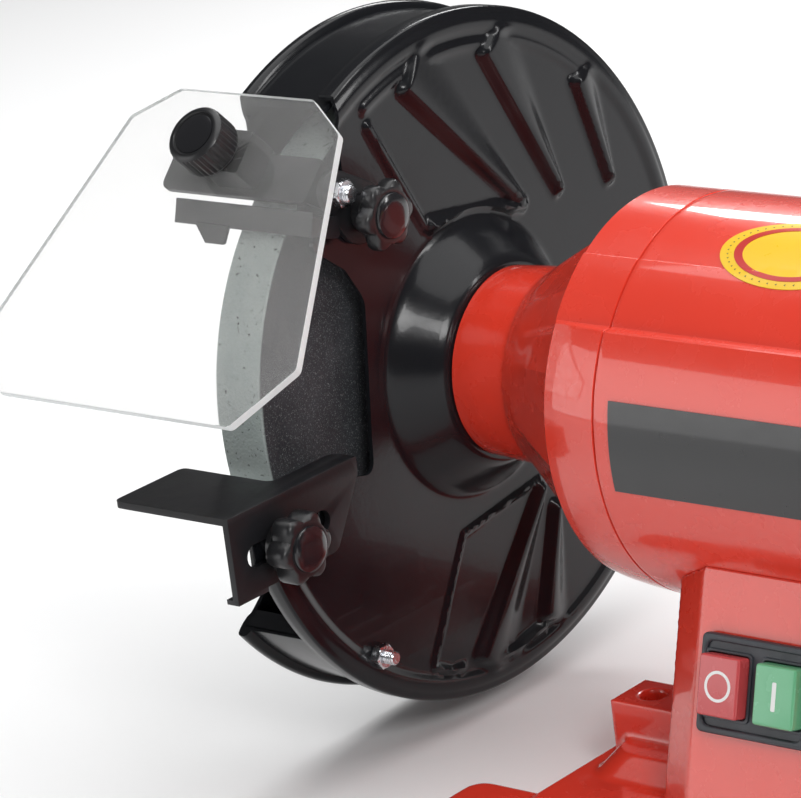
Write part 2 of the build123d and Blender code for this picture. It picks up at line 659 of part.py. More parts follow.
with BuildPart() as tool_rest:
    with BuildSketch(Plane.XY.offset(SPINDLE_Z + REST_TOP_Z - REST_T)) as table:
        Polygon(
            (left(REST_LEFT), REST_FRONT_Y), (left(REST_SIDE), REST_FRONT_Y),
            (left(REST_SIDE), REST_ARM_Y), (left(-6), REST_ARM_Y),
            (left(-6), REST_BACK_Y), (left(REST_LEFT), REST_BACK_Y), align=None,
        )
    extrude(table.sketch, amount=REST_T)
    flange = (
        (REST_FRONT_Y, REST_TOP_Z), (REST_ARM_Y, REST_TOP_Z), (REST_ARM_Y, -18), (-88, -41),
        (REST_FRONT_Y, -41),
    )
    plate(side_plane(REST_SIDE - REST_T), flange, REST_T)
    with BuildSketch(Plane.XY.offset(SPINDLE_Z - 42.5)) as hem:
        with Locations((left(2.15), -131.5)):
            Rectangle(5.3, 15)
    extrude(hem.sketch, amount=1.5)
    with BuildSketch(side_plane(0)) as slot:
        with Locations((sum(SLOT_Y) / 2, REST_STUD[1])):
            SlotOverall(SLOT_Y[1] - SLOT_Y[0], 8)
    extrude(slot.sketch, amount=8, mode=Mode.SUBTRACT)
save_pair(tool_rest, "tool_rest")


def star_knob(stud, hub_x0, head_x0, head_x1, hub_r):
    """Star knob with its stud, screwed in from the motor side."""
    y, z = stud
    lobes = [(y + KNOB_R * 0.76 * cos(radians(60 * k)), z + KNOB_R * 0.76 * sin(radians(60 * k)))
             for k in range(6)]
    rods(side_plane(hub_x0), [stud], hub_r, head_x0 - hub_x0 + 1)
    rods(side_plane(head_x0), [stud], KNOB_R * 0.8, head_x1 - head_x0)
    rods(side_plane(head_x0), lobes, KNOB_R * 0.24, head_x1 - head_x0 - 2)


with BuildPart() as rest_knob:
    star_knob(REST_STUD, REST_SIDE + 0.4, 8.5, 20, 8)
    rods(side_plane(-5), [REST_STUD], STUD_R, 14)
save_pair(rest_knob, "rest_knob")

# ------------------------------------------------------------------ spark arresters and shields
PIVOT = (-62.7, 77.7)
ARM_X = (0.3, 2.8)
ARM_RUN = (0.767, -0.64)        # the arm's slot runs this way
SHIELD = Plane(
    origin=(left(SHIELD_X), SHIELD_YZ[0], SPINDLE_Z + SHIELD_YZ[1]), x_dir=(1, 0, 0),
    z_dir=(0, -sin(radians(SHIELD_TILT)), cos(radians(SHIELD_TILT))),
)
SHIELD_KNOB_S = -5.0
BAR_X = (-34.0, 31.9)           # ends of the bar, from the middle of the shield
BAR_BACK = 17.0
BAR_T = 2.0
# (half width, distance down the shield)
SHIELD_SHAPE = ((30, -29), (47.5, -17), (71, 68), (53, 91))

with BuildPart() as shield_arm:
    with BuildSketch(side_plane(ARM_X[0])) as strip:
        with Locations(ARM_STUD):
            Circle(11)
        with Locations(PIVOT):
            Circle(7.5)
        make_hull()
        slot_run = (ARM_STUD[0] + 2.3 * ARM_RUN[0], ARM_STUD[1] + 2.3 * ARM_RUN[1])
        with Locations(Location((*slot_run, 0), degrees(atan2(ARM_RUN[1], ARM_RUN[0])))):
            SlotOverall(2 * STUD_R + 1 + 8, 2 * STUD_R + 1, mode=Mode.SUBTRACT)
        with Locations(PIVOT):
            Circle(STUD_R, mode=Mode.SUBTRACT)
    extrude(strip.sketch, amount=ARM_X[1] - ARM_X[0])
save_pair(shield_arm, "shield_arm")

with BuildPart() as arm_knob:
    star_knob(ARM_STUD, 3.2, 9.5, 18, 6.5)
    rods(side_plane(-7), [ARM_STUD], STUD_R, 14)
save_pair(arm_knob, "arm_knob")

with BuildPart() as shield_pivot:
    hexes(side_plane(-7.5), [PIVOT], 9, 3.1)
    rods(side_plane(-7.5), [PIVOT], STUD_R, 16.5)
    rods(side_plane(-1.8), [PIVOT], 4.4, 2.1)
    hexes(side_plane(ARM_X[1]), [PIVOT], 9, 3.7)
save_pair(shield_pivot, "shield_pivot")

with BuildPart() as spark_deflector:
    blade = ((-79.5, 66.5), (-77, 74.5), (-75.6, 74.1), (-78.1, 66.1))
    plate(side_plane(-58), blade, 62.3)
    with BuildSketch(Plane.XZ.offset(78.6)) as tooth:
        Polygon(
            (left(-48), SPINDLE_Z + 67), (left(-32.5), SPINDLE_Z + 67),
            (left(-36), SPINDLE_Z + 60.5), (left(-44.5), SPINDLE_Z + 60.5), align=None,
        )
    extrude(tooth.sketch, amount=1.4)
    tab = ((-79, 66.5), (-66, 63), (-66, 71), (-77.5, 72.5))
    plate(side_plane(ARM_X[1]), tab, 1.5)
save_pair(spark_deflector, "spark_deflector")

with BuildPart() as eye_shield:
    outline = [(-w, -s) for w, s in SHIELD_SHAPE] + [(w, -s) for w, s in reversed(SHIELD_SHAPE)]
    plate(SHIELD, outline, -SHIELD_T, corner=3)
    rods(SHIELD, [(0, -SHIELD_KNOB_S)], 2.9, -SHIELD_T, mode=Mode.SUBTRACT)
save_pair(eye_shield, "eye_shield")

with BuildPart() as shield_bar:
    with BuildSketch(SHIELD.offset(-SHIELD_T)) as block:
        with Locations((0, 8)):
            Rectangle(18, 16)
    extrude(block.sketch, amount=SHIELD_T - BAR_BACK + BAR_T)
    with BuildSketch(SHIELD.offset(-BAR_BACK)) as bar:
        with Locations(((BAR_X[0] + BAR_X[1]) / 2, 5.5)):
            Rectangle(BAR_X[1] - BAR_X[0], 17)
    extrude(bar.sketch, amount=BAR_T)
    corners = []
    for s, n in ((-13, -BAR_BACK), (-13, -BAR_BACK + BAR_T), (2, -BAR_BACK + BAR_T), (2, -BAR_BACK)):
        corner = SHIELD.from_local_coords((0, -s, n))
        corners.append((corner.Y, corner.Z - SPINDLE_Z))
    with BuildSketch(side_plane(-4.1)) as ear:
        Polygon(*corners, align=None)
        with Locations(PIVOT):
            Circle(6.5)
        make_hull()
        with Locations(PIVOT):
            Circle(STUD_R + 0.05, mode=Mode.SUBTRACT)
    extrude(ear.sketch, amount=2)
    hexes(SHIELD.offset(-BAR_BACK), [(0, -SHIELD_KNOB_S)], 8, -2.5)
    rods(SHIELD, [(0, -SHIELD_KNOB_S)], 2.55, -BAR_BACK - 5, mode=Mode.SUBTRACT)
save_pair(shield_bar, "shield_bar")

with BuildPart() as shield_knob:
    rods(SHIELD.offset(0.4), [(0, -SHIELD_KNOB_S)], 7.5, 3)
    rods(SHIELD.offset(3), [(0, -SHIELD_KNOB_S)], 10.8, 12.5)
    rods(SHIELD.offset(3), [(0, -SHIELD_KNOB_S)], 2.5, -22.8)
save_pair(shield_knob, "shield_knob")
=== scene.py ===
"""Looks for the bench grinder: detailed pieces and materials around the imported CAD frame.

Sizes are in millimetres in the row's frame until a mesh is made, and metres from there on.
Side pieces are built once, on the left, and mirrored for the right.
"""
import bpy
import bmesh
import math
import numpy as np
from mathutils import Matrix, Vector


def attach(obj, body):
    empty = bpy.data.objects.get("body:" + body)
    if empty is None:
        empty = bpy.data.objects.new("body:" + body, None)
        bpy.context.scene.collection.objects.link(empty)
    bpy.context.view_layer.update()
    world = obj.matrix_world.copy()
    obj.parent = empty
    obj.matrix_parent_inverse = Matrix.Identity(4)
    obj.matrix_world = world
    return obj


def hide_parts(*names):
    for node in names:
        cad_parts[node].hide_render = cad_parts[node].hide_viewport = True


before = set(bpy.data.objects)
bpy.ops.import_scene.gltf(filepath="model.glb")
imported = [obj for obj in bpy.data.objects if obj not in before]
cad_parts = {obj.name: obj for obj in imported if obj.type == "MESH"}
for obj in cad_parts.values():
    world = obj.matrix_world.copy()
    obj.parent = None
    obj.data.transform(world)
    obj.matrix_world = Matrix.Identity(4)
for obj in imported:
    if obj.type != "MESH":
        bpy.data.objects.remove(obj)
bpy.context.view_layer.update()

MM = 0.001
SPINDLE_Z = 131.0
PLATE_X = 163.0


# ------------------------------------------------------------------ materials
class Nodes:
    """Short names for the node setups that the materials share."""

    def __init__(self, name):
        self.mat = bpy.data.materials.new(name)
        self.mat.use_nodes = True
        self.tree = self.mat.node_tree
        self.shader = self.tree.nodes["Principled BSDF"]
        self.coords = self.tree.nodes.new("ShaderNodeTexCoord")

    def new(self, kind, **values):
        node = self.tree.nodes.new(kind)
        for key, value in values.items():
            setattr(node, key, value)
        return node

    def link(self, a, b):
        self.tree.links.new(a, b)

    def noise(self, scale, detail=4.0, rough=0.55, stretch=None):
        node = self.new("ShaderNodeTexNoise")
        node.inputs["Scale"].default_value = scale
        node.inputs["Detail"].default_value = detail
        node.inputs["Roughness"].default_value = rough
        if stretch is None:
            self.link(self.coords.outputs["Object"], node.inputs["Vector"])
        else:
            mapping = self.new("ShaderNodeMapping")
            mapping.inputs["Scale"].default_value = stretch
            self.link(self.coords.outputs["Object"], mapping.inputs["Vector"])
            self.link(mapping.outputs["Vector"], node.inputs["Vector"])
        return node.outputs["Fac"]

    def spread(self, source, low, high, at_low=0.2, at_high=0.8):
        node = self.new("ShaderNodeMapRange")
        for key, value in (("From Min", at_low), ("From Max", at_high), ("To Min", low), ("To Max", high)):
            node.inputs[key].default_value = value
        self.link(source, node.inputs["Value"])
        return node.outputs["Result"]

    def mix(self, factor, a, b):
        node = self.new("ShaderNodeMix", data_type="RGBA")
        self.link(factor, node.inputs["Factor"])
        for socket, value in ((node.inputs[6], a), (node.inputs[7], b)):
            if isinstance(value, tuple):
                socket.default_value = (*value, 1)
            else:
                self.link(value, socket)
        return node.outputs[2]

    def edges(self, low=0.56, high=0.72):
        """Where the surface is sharply convex, as a mask from 0 to 1."""
        geometry = self.new("ShaderNodeNewGeometry")
        return self.spread(geometry.outputs["Pointiness"], 0, 1, low, high)

    def bump(self, source, distance, strength=1.0):
        node = self.new("ShaderNodeBump")
        node.inputs["Distance"].default_value = distance
        node.inputs["Strength"].default_value = strength
        self.link(source, node.inputs["Height"])
        self.link(node.outputs["Normal"], self.shader.inputs["Normal"])
        return node

    def set(self, **values):
        for key, value in values.items():
            socket = self.shader.inputs[key.replace("_", " ")]
            socket.default_value = (*value, 1) if isinstance(value, tuple) else value

    def drive(self, source, name):
        self.link(source, self.shader.inputs[name])


def paint(name, base, deep, edge_tone, rough, coat, peel=0.00004, specular=0.5):
    """Paint with orange peel, slow colour drift and a lighter tone on sharply convex edges."""
    n = Nodes(name)
    drift = n.spread(n.noise(14, 3), 0, 1)
    colour = n.mix(drift, base, deep)
    # sharply convex edges take the lighter edge colour
    n.drive(n.mix(n.edges(), colour, edge_tone), "Base Color")
    n.drive(n.spread(n.noise(60, 5), rough * 0.8, rough * 1.25), "Roughness")
    n.set(Coat_Weight=coat, Coat_Roughness=0.04, Specular_IOR_Level=specular)
    n.bump(n.noise(420, 2), peel)
    return n.mat


def metal(name, base, dark, rough, stretch, grain=0.00002):
    """Bright metal with machining marks along one direction."""
    n = Nodes(name)
    marks = n.noise(900, 3, 0.6, stretch)
    n.drive(n.mix(n.spread(n.noise(50, 4), 0, 1), base, dark), "Base Color")
    n.drive(n.spread(marks, rough * 0.7, rough * 1.5), "Roughness")
    n.set(Metallic=1.0)
    n.bump(marks, grain)
    return n.mat


def plastic(name, base, deep, rough, grain_scale=900, grain=0.00003, coat=0.0):
    """Moulded plastic with a fine spark-eroded grain."""
    n = Nodes(name)
    n.drive(n.mix(n.spread(n.noise(25, 3), 0, 1), base, deep), "Base Color")
    n.drive(n.spread(n.noise(180, 4), rough * 0.85, rough * 1.2), "Roughness")
    n.set(Coat_Weight=coat, Coat_Roughness=0.1)
    n.bump(n.noise(grain_scale, 2), grain)
    return n.mat


def abrasive_material():
    """Open vitrified grain: pale crystals, dark pores, and sides painted near black against the grey running
    rim, as painted shade from the guard.
    """
    n = Nodes("abrasive grain")
    separate = n.new("ShaderNodeSeparateXYZ")
    n.link(n.coords.outputs["Object"], separate.inputs["Vector"])
    height = n.new("ShaderNodeMath", operation="SUBTRACT")
    height.inputs[1].default_value = SPINDLE_Z * MM
    n.link(separate.outputs["Z"], height.inputs[0])
    combine = n.new("ShaderNodeCombineXYZ")
    n.link(separate.outputs["Y"], combine.inputs["Y"])
    n.link(height.outputs["Value"], combine.inputs["Z"])
    length = n.new("ShaderNodeVectorMath", operation="LENGTH")
    n.link(combine.outputs["Vector"], length.inputs[0])
    rim = n.spread(length.outputs["Value"], 0, 1, 0.0992, 0.0996)
    cells = n.new("ShaderNodeTexVoronoi", feature="F1")
    cells.inputs["Scale"].default_value = 950
    n.link(n.coords.outputs["Object"], cells.inputs["Vector"])
    grit = n.spread(cells.outputs["Distance"], 0, 1, 0.1, 0.75)
    cloud = n.spread(n.noise(35, 6), 0, 1, 0.35, 0.65)
    # painted shade: the flat sides take a near-black copy of the grain colour, and the running rim takes the
    # grain's own grey
    side = n.mix(cloud, (0.026, 0.028, 0.032), (0.05, 0.052, 0.058))
    face = n.mix(cloud, (0.25, 0.29, 0.28), (0.33, 0.37, 0.355))
    colour = n.mix(rim, side, face)
    sparkle = n.mix(n.spread(n.noise(2400, 2), 0, 0.6, 0.58, 0.75), colour, (0.36, 0.38, 0.38))
    n.drive(n.mix(n.spread(n.noise(700, 3), 0, 1, 0.62, 0.7), sparkle, (0.03, 0.032, 0.034)), "Base Color")
    n.set(Roughness=0.92, Specular_IOR_Level=0.25)
    n.bump(grit, 0.00022, 0.8)
    return n.mat


def clear_material():
    n = Nodes("clear sheet")
    haze = n.spread(n.noise(6, 5), 0.015, 0.06)
    n.drive(haze, "Roughness")
    n.set(Base_Color=(0.955, 0.955, 0.95), Transmission_Weight=0.93, IOR=1.4, Specular_IOR_Level=0.5)
    n.bump(n.noise(40, 2), 0.000002)
    return n.mat


def cut_edge_material():
    """Saw-cut edge of the clear sheet, frosted, with a faint painted glow from an emission."""
    n = Nodes("clear sheet edge")
    saw = n.noise(1400, 2, 0.5, (1, 1, 0.2))
    n.drive(n.mix(saw, (0.93, 0.95, 0.95), (0.80, 0.84, 0.85)), "Base Color")
    n.drive(n.spread(saw, 0.3, 0.6), "Roughness")
    n.set(Transmission_Weight=0.45, IOR=1.35)
    # painted glow: a faint emission makes the cut edge shine, though it is no lamp
    n.set(Emission_Color=(0.9, 0.95, 0.95), Emission_Strength=0.08)
    n.bump(saw, 0.00004)
    return n.mat


RED = paint("body paint", (0.78, 0.05, 0.026), (0.73, 0.043, 0.022), (0.8, 0.075, 0.045), 0.26, 0.9, 0.00004)
BLACK = paint("guard paint", (0.006, 0.0065, 0.008), (0.009, 0.0095, 0.0115), (0.02, 0.021, 0.024),
              0.2, 0.12, 0.00003, 0.22)
SATIN = paint("sheet paint", (0.008, 0.008, 0.009), (0.012, 0.012, 0.014), (0.035, 0.035, 0.038),
              0.42, 0.0, 0.00003, 0.3)
GRAIN = abrasive_material()
CLEAR = clear_material()
CUT = cut_edge_material()
ZINC = metal("zinc plate", (0.72, 0.73, 0.75), (0.58, 0.59, 0.62), 0.22, (1, 1, 1))
TURNED = metal("turned steel", (0.55, 0.55, 0.56), (0.42, 0.42, 0.44), 0.28, (8, 1, 1))
CORE = metal("core steel", (0.2, 0.2, 0.21), (0.12, 0.12, 0.13), 0.45, (12, 1, 1))
COPPER = metal("varnished copper", (0.62, 0.25, 0.1), (0.45, 0.16, 0.06), 0.3, (1, 6, 6), 0.0001)
KNOB = plastic("knob plastic", (0.008, 0.008, 0.009), (0.013, 0.013, 0.015), 0.35, 1100, 0.00003, 0.1)
KNOB_CAP = plastic("knob cap", (0.01, 0.01, 0.012), (0.015, 0.015, 0.017), 0.16, 600, 0.00001, 0.25)
PLATE = plastic("plate black", (0.008, 0.008, 0.009), (0.013, 0.013, 0.014), 0.3, 500, 0.00001, 0.5)
YELLOW = plastic("badge yellow", (0.85, 0.55, 0.01), (0.8, 0.5, 0.008), 0.3, 700, 0.00001, 0.4)
BADGE_RED = plastic("badge red", (0.55, 0.015, 0.012), (0.5, 0.012, 0.01), 0.3, 700, 0.00001, 0.4)
BADGE_INK = plastic("badge ink", (0.03, 0.025, 0.02), (0.05, 0.04, 0.03), 0.4, 700, 0.00001, 0.3)
GREY = plastic("switch grey", (0.03, 0.034, 0.042), (0.045, 0.05, 0.06), 0.4)
STOP = plastic("stop red", (0.62, 0.085, 0.09), (0.52, 0.06, 0.065), 0.25, 900, 0.00001, 0.4)
START = plastic("start green", (0.16, 0.50, 0.27), (0.12, 0.42, 0.21), 0.25, 900, 0.00001, 0.4)
MARK = plastic("button mark", (0.85, 0.85, 0.84), (0.78, 0.78, 0.77), 0.35, 900, 0.00001, 0.3)
RUBBER = plastic("rubber", (0.014, 0.014, 0.014), (0.022, 0.022, 0.022), 0.75, 700, 0.00008)
WHITE = plastic("white plastic", (0.75, 0.75, 0.71), (0.68, 0.68, 0.64), 0.45)
NYLON = plastic("black nylon", (0.014, 0.014, 0.015), (0.02, 0.02, 0.021), 0.5)
PAPER = plastic("blotter paper", (0.50, 0.44, 0.34), (0.40, 0.35, 0.27), 0.85, 500, 0.0001)


# ------------------------------------------------------------------ mesh helpers
def from_left(x):
    return x - PLATE_X


def mesh_object(name, verts, faces, material):
    """A mesh object from millimetre points."""
    mesh = bpy.data.meshes.new(name)
    mesh.from_pydata([tuple(float(c) * MM for c in v) for v in verts], [], [tuple(f) for f in faces])
    mesh.update()
    obj = bpy.data.objects.new(name, mesh)
    bpy.context.scene.collection.objects.link(obj)
    mesh.materials.append(material)
    return obj


def ring_faces(rows, steps, closed=False):
    """Quads between rows of points that each go once round; closed joins the last row to the first."""
    faces = []
    for i in range(rows if closed else rows - 1):
        here, there = i * steps, (i + 1) % rows * steps
        for k in range(steps):
            m = (k + 1) % steps
            faces.append((here + k, here + m, there + m, there + k))
    return faces


def polar(reach, degrees):
    """(y, z from the spindle) at an angle above the horizontal, on the front side."""
    a = math.radians(degrees)
    return (-reach * math.cos(a), reach * math.sin(a))


def tidy_normals(obj):
    bm = bmesh.new()
    bm.from_mesh(obj.data)
    bmesh.ops.remove_doubles(bm, verts=bm.verts, dist=2e-6)
    bmesh.ops.recalc_face_normals(bm, faces=bm.faces)
    bm.to_mesh(obj.data)
    bm.free()


def apply_modifiers(obj):
    depsgraph = bpy.context.evaluated_depsgraph_get()
    mesh = bpy.data.meshes.new_from_object(obj.evaluated_get(depsgraph))
    old = obj.data
    obj.modifiers.clear()
    obj.data = mesh
    bpy.data.meshes.remove(old)


def bevel(obj, width, segments=2, angle=35):
    mod = obj.modifiers.new("bevel", "BEVEL")
    mod.width = width * MM
    mod.segments = segments
    mod.limit_method = "ANGLE"
    mod.angle_limit = math.radians(angle)
    mod.harden_normals = False
    apply_modifiers(obj)
    bm = bmesh.new()
    bm.from_mesh(obj.data)
    bmesh.ops.remove_doubles(bm, verts=bm.verts, dist=5e-6)
    bmesh.ops.dissolve_degenerate(bm, edges=bm.edges, dist=5e-6)
    bm.to_mesh(obj.data)
    bm.free()


def shade(obj, angle=20):
    """Smooth shading, with edges sharper than angle kept crisp."""
    mesh = obj.data
    mesh.polygons.foreach_set("use_smooth", [True] * len(mesh.polygons))
    bm = bmesh.new()
    bm.from_mesh(mesh)
    limit = math.radians(angle)
    for edge in bm.edges:
        edge.smooth = edge.is_manifold and edge.calc_face_angle(0.0) < limit
    bm.to_mesh(mesh)
    bm.free()


def soften(obj, width, segments=2):
    """Bevelled edges, then smooth shading that keeps the sharper ones crisp."""
    bevel(obj, width, segments)
    shade(obj)


def join(pieces, name):
    """One object from several, keeping each one's materials."""
    base = pieces[0]
    bm = bmesh.new()
    slots = []
    for piece in pieces:
        start = len(bm.faces)
        bm.from_mesh(piece.data)
        bm.faces.ensure_lookup_table()
        lookup = []
        for material in piece.data.materials:
            if material not in slots:
                slots.append(material)
            lookup.append(slots.index(material))
        for face in bm.faces[start:]:
            face.material_index = lookup[face.material_index]
    base.data.materials.clear()
    for material in slots:
        base.data.materials.append(material)
    bm.to_mesh(base.data)
    bm.free()
    for piece in pieces[1:]:
        bpy.data.objects.remove(piece)
    base.name = name
    return base


def mirrored(obj, name):
    """The right-hand copy of a left-hand piece."""
    copy = obj.copy()
    copy.data = obj.data.copy()
    copy.name = name
    bpy.context.scene.collection.objects.link(copy)
    copy.data.transform(Matrix.Scale(-1, 4, (1, 0, 0)))
    copy.data.flip_normals()
    return copy


def place(obj, body, node):
    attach(obj, body)
    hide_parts(node)
    return obj


def both(obj, stem, body, root=False):
    """Place a left-hand piece and its mirror image, standing for stem_left and stem_right."""
    right = mirrored(obj, f"{stem}_look_right")
    obj.name = f"{stem}_look_left"
    place(obj, body if root else f"{body}_left", f"{stem}_left")
    place(right, body if root else f"{body}_right", f"{stem}_right")


def lathe(name, profile, material, steps=180, close=False):
    """Turn an (x, radius) profile about the spindle."""
    verts, faces = [], []
    count = len(profile)
    for k in range(steps):
        a = 2 * math.pi * k / steps
        for x, r in profile:
            verts.append((x, -r * math.cos(a), SPINDLE_Z + r * math.sin(a)))
    for k in range(steps):
        here, there = k * count, ((k + 1) % steps) * count
        for i in range(count if close else count - 1):
            j = (i + 1) % count
            faces.append((here + i, here + j, there + j, there + i))
    obj = mesh_object(name, verts, faces, material)
    tidy_normals(obj)
    return obj


def extruded(name, outline, origin, u, v, thickness, material, holes=()):
    """A flat shape with holes, drawn in (u, v) at origin and pushed out along u x v."""
    u, v, origin = Vector(u), Vector(v), Vector(origin)
    n = u.cross(v).normalized()
    loops = [list(outline)] + [list(h) for h in holes]
    bm = bmesh.new()
    edges = []
    for loop in loops:
        ring = [bm.verts.new((origin + u * a + v * b) * MM) for a, b in loop]
        edges += [bm.edges.new((ring[i], ring[(i + 1) % len(ring)])) for i in range(len(ring))]
    bmesh.ops.triangle_fill(bm, use_beauty=True, use_dissolve=False, edges=edges)
    bmesh.ops.dissolve_limit(bm, angle_limit=0.01, verts=bm.verts, edges=bm.edges)
    out = bmesh.ops.extrude_face_region(bm, geom=bm.faces[:])
    moved = [e for e in out["geom"] if isinstance(e, bmesh.types.BMVert)]
    bmesh.ops.translate(bm, verts=moved, vec=n * thickness * MM)
    bmesh.ops.recalc_face_normals(bm, faces=bm.faces)
    mesh = bpy.data.meshes.new(name)
    bm.to_mesh(mesh)
    bm.free()
    obj = bpy.data.objects.new(name, mesh)
    bpy.context.scene.collection.objects.link(obj)
    mesh.materials.append(material)
    return obj


def side_shape(name, outline, x, thickness, material, holes=()):
    """A shape drawn as (y, z from the spindle) at x from the left guard plate, thick towards +X."""
    origin = (from_left(x), 0, SPINDLE_Z)
    return extruded(name, outline, origin, (0, 1, 0), (0, 0, 1), thickness, material, holes)


def circle(cy, cz, r, steps=32, start=0.0):
    angles = [start + 2 * math.pi * k / steps for k in range(steps)]
    return [(cy + r * math.cos(a), cz + r * math.sin(a)) for a in angles]


def slot_outline(x0, x1, y, half, steps=10):
    """A slot with round ends along the first axis."""
    points = []
    for k in range(steps + 1):
        a = -math.pi / 2 + math.pi * k / steps
        points.append((x1 - half + half * math.cos(a), y + half * math.sin(a)))
    for k in range(steps + 1):
        a = math.pi / 2 + math.pi * k / steps
        points.append((x0 + half + half * math.cos(a), y + half * math.sin(a)))
    return points


def rounded(points, radii, steps=6):
    """A polygon with its corners rounded, one radius per corner."""
    result = []
    count = len(points)
    for i, (p, r) in enumerate(zip(points, radii)):
        a, b, c = Vector(points[i - 1]), Vector(p), Vector(points[(i + 1) % count])
        if r <= 0:
            result.append(tuple(b))
            continue
        da, dc = (a - b).normalized(), (c - b).normalized()
        half = da.angle(dc) / 2
        reach = min(r / math.tan(half), 0.48 * (a - b).length, 0.48 * (c - b).length)
        start, end = b + da * reach, b + dc * reach
        for k in range(steps + 1):
            t = k / steps
            result.append(tuple((1 - t) ** 2 * start + 2 * t * (1 - t) * b + t * t * end))
    return result


def cut(obj, cutters):
    """Boolean difference with closed cutter pieces, which are then removed."""
    for cutter in cutters:
        mod = obj.modifiers.new("cut", "BOOLEAN")
        mod.operation = "DIFFERENCE"
        mod.solver = "EXACT"
        mod.object = cutter
        apply_modifiers(obj)
        bpy.data.objects.remove(cutter)


def dress(node, *materials):
    """Give a CAD node that stays as it is its procedural material."""
    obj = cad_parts[node]
    for slot in obj.material_slots:
        slot.material = materials[0]
    mesh = obj.data
    mesh.polygons.foreach_set("use_smooth", [True] * len(mesh.polygons))
    return obj


def spun(name, stations, origin, axis, material, steps=64, radial=None):
    """A closed form turned about an axis from (distance, radius) stations; radial reshapes each ring."""
    origin, axis = Vector(origin), Vector(axis).normalized()
    u = axis.cross(Vector((0, 0, 1)) if abs(axis.z) < 0.9 else Vector((0, 1, 0))).normalized()
    v = axis.cross(u)
    verts, faces = [], []
    for s, r in stations:
        for k in range(steps):
            a = 2 * math.pi * k / steps
            reach = radial(a, s, r) if radial else r
            verts.append(origin + axis * s + (u * math.cos(a) + v * math.sin(a)) * reach)
    faces += ring_faces(len(stations), steps)
    for i, s in ((0, stations[0][0]), (len(stations) - 1, stations[-1][0])):
        verts.append(origin + axis * s)
        centre = len(verts) - 1
        for k in range(steps):
            faces.append((centre, i * steps + k, i * steps + (k + 1) % steps))
    obj = mesh_object(name, verts, faces, material)
    tidy_normals(obj)
    return obj


def hex_radius(across):
    def radius(a, s, r):
        return min(across / 2 / math.cos((a % (math.pi / 3)) - math.pi / 6), r)
    return radius


def hexagon(name, origin, axis, across, height, material):
    """A hexagon nut or head with both faces chamfered."""
    corner = across / 2 / math.cos(math.pi / 6)
    flat = across / 2 * 0.97
    rise = (corner - flat) * 0.55
    stations = [(0, flat * 0.98), (0.02, flat), (rise, corner + 0.01), (height - rise, corner + 0.01),
                (height - 0.02, flat), (height, flat * 0.98)]
    return spun(name, stations, origin, axis, material, 72, hex_radius(across))


def threaded(name, origin, axis, r, length, material, pitch=0.8):
    """A screw end with rolled ridges and a chamfered tip."""
    stations = [(0, r)]
    turns = int((length - 0.6) / pitch)
    for k in range(turns):
        stations += [(k * pitch + 0.05, r), (k * pitch + 0.3, r), (k * pitch + 0.55, r - 0.3 * pitch * 0.8)]
    stations += [(length - 0.5, r), (length, r - 0.5)]
    return spun(name, stations, origin, axis, material, 32)


def side_point(x, y, z):
    return (from_left(x), y, SPINDLE_Z + z)


# ------------------------------------------------------------------ motor body
BODY_R, CROWN_R, CAP_R = 70.0, 67.0, 66.5


def section_radius(a):
    """Radius of the motor's section at an angle, with the ledge on both sides."""
    up = math.degrees(math.asin(max(-1.0, min(1.0, math.sin(a)))))
    knots = ((-91, BODY_R), (33.0, BODY_R), (33.5, BODY_R - 0.3), (35.0, CROWN_R + 0.2),
             (35.5, CROWN_R - 0.15), (37.0, CROWN_R), (57.0, CROWN_R), (57.6, CAP_R), (91, CAP_R))
    return float(np.interp(up, [k[0] for k in knots], [k[1] for k in knots]))


def body_angles():
    base = list(np.arange(0, 360, 2.0))
    fine = [32.0, 32.6, 33.0, 33.5, 34.2, 35.0, 35.5, 36.2, 37.0, 38.2, 56.6, 57.0, 57.3, 57.6, 58.2]
    every = sorted(set(base + fine + [180 - f for f in fine]))
    return [math.radians(a) for a in every]


def body_form(name, stations, material, inner):
    """A shell about the spindle from x stations, each with its own radius function, and an inner skin."""
    angles = body_angles()
    count = len(angles)
    verts = []
    rows = [(x, f) for x, f in stations] + [(x, (lambda a, r=r: r)) for x, r in inner]
    for x, f in rows:
        for a in angles:
            r = f(a)
            verts.append((x, -r * math.cos(a), SPINDLE_Z + r * math.sin(a)))
    obj = mesh_object(name, verts, ring_faces(len(rows), count, closed=True), material)
    tidy_normals(obj)
    shade(obj, 24)
    return obj


def inset_section(by):
    return lambda a: section_radius(a) - by


FACET = math.radians(30)
FACET_AT = math.radians(50)


def bell_radius(x):
    """Radius function of the left end bell at x from the guard plate."""
    profile = ((16, 32.6), (16.8, 33.4), (38, 34.8), (40, 35.2), (42, 36.4), (81.6, 63.3), (82.0, 63.6),
               (83.6, 67.0), (84.2, 67.5), (90, 68.6), (98, 69.5), (106, 70.0))
    plain = float(np.interp(x, [p[0] for p in profile], [p[1] for p in profile]))
    mix = max(0.0, min(1.0, (x - 42) / 14)) if x < 82.1 else 0.0

    def radius(a):
        offset = (a - FACET_AT) % FACET - FACET / 2
        flat = plain * math.cos(FACET / 2) / math.cos(offset)
        value = plain + (flat - plain) * mix
        up = math.degrees(math.asin(max(-1.0, min(1.0, math.sin(a)))))
        step = float(np.interp(up, (33.2, 36.8), (0, 1)))
        if x < 82.1:
            return value - 2.4 * step * max(0.0, min(1.0, (x - 48) / 26))
        return min(value, section_radius(a))
    return radius


def bell_stations():
    xs = [16, 16.3, 16.8, 20, 26, 32, 38, 39, 40, 41, 42, 44, 47, 50, 54, 58, 62, 66, 70, 74, 77, 80, 81.6,
          82.0, 82.8, 83.6, 83.9, 84.2, 84.8, 86, 88, 90, 94, 98, 102, 105.2, 105.6]
    return [(from_left(x), bell_radius(x)) for x in xs]


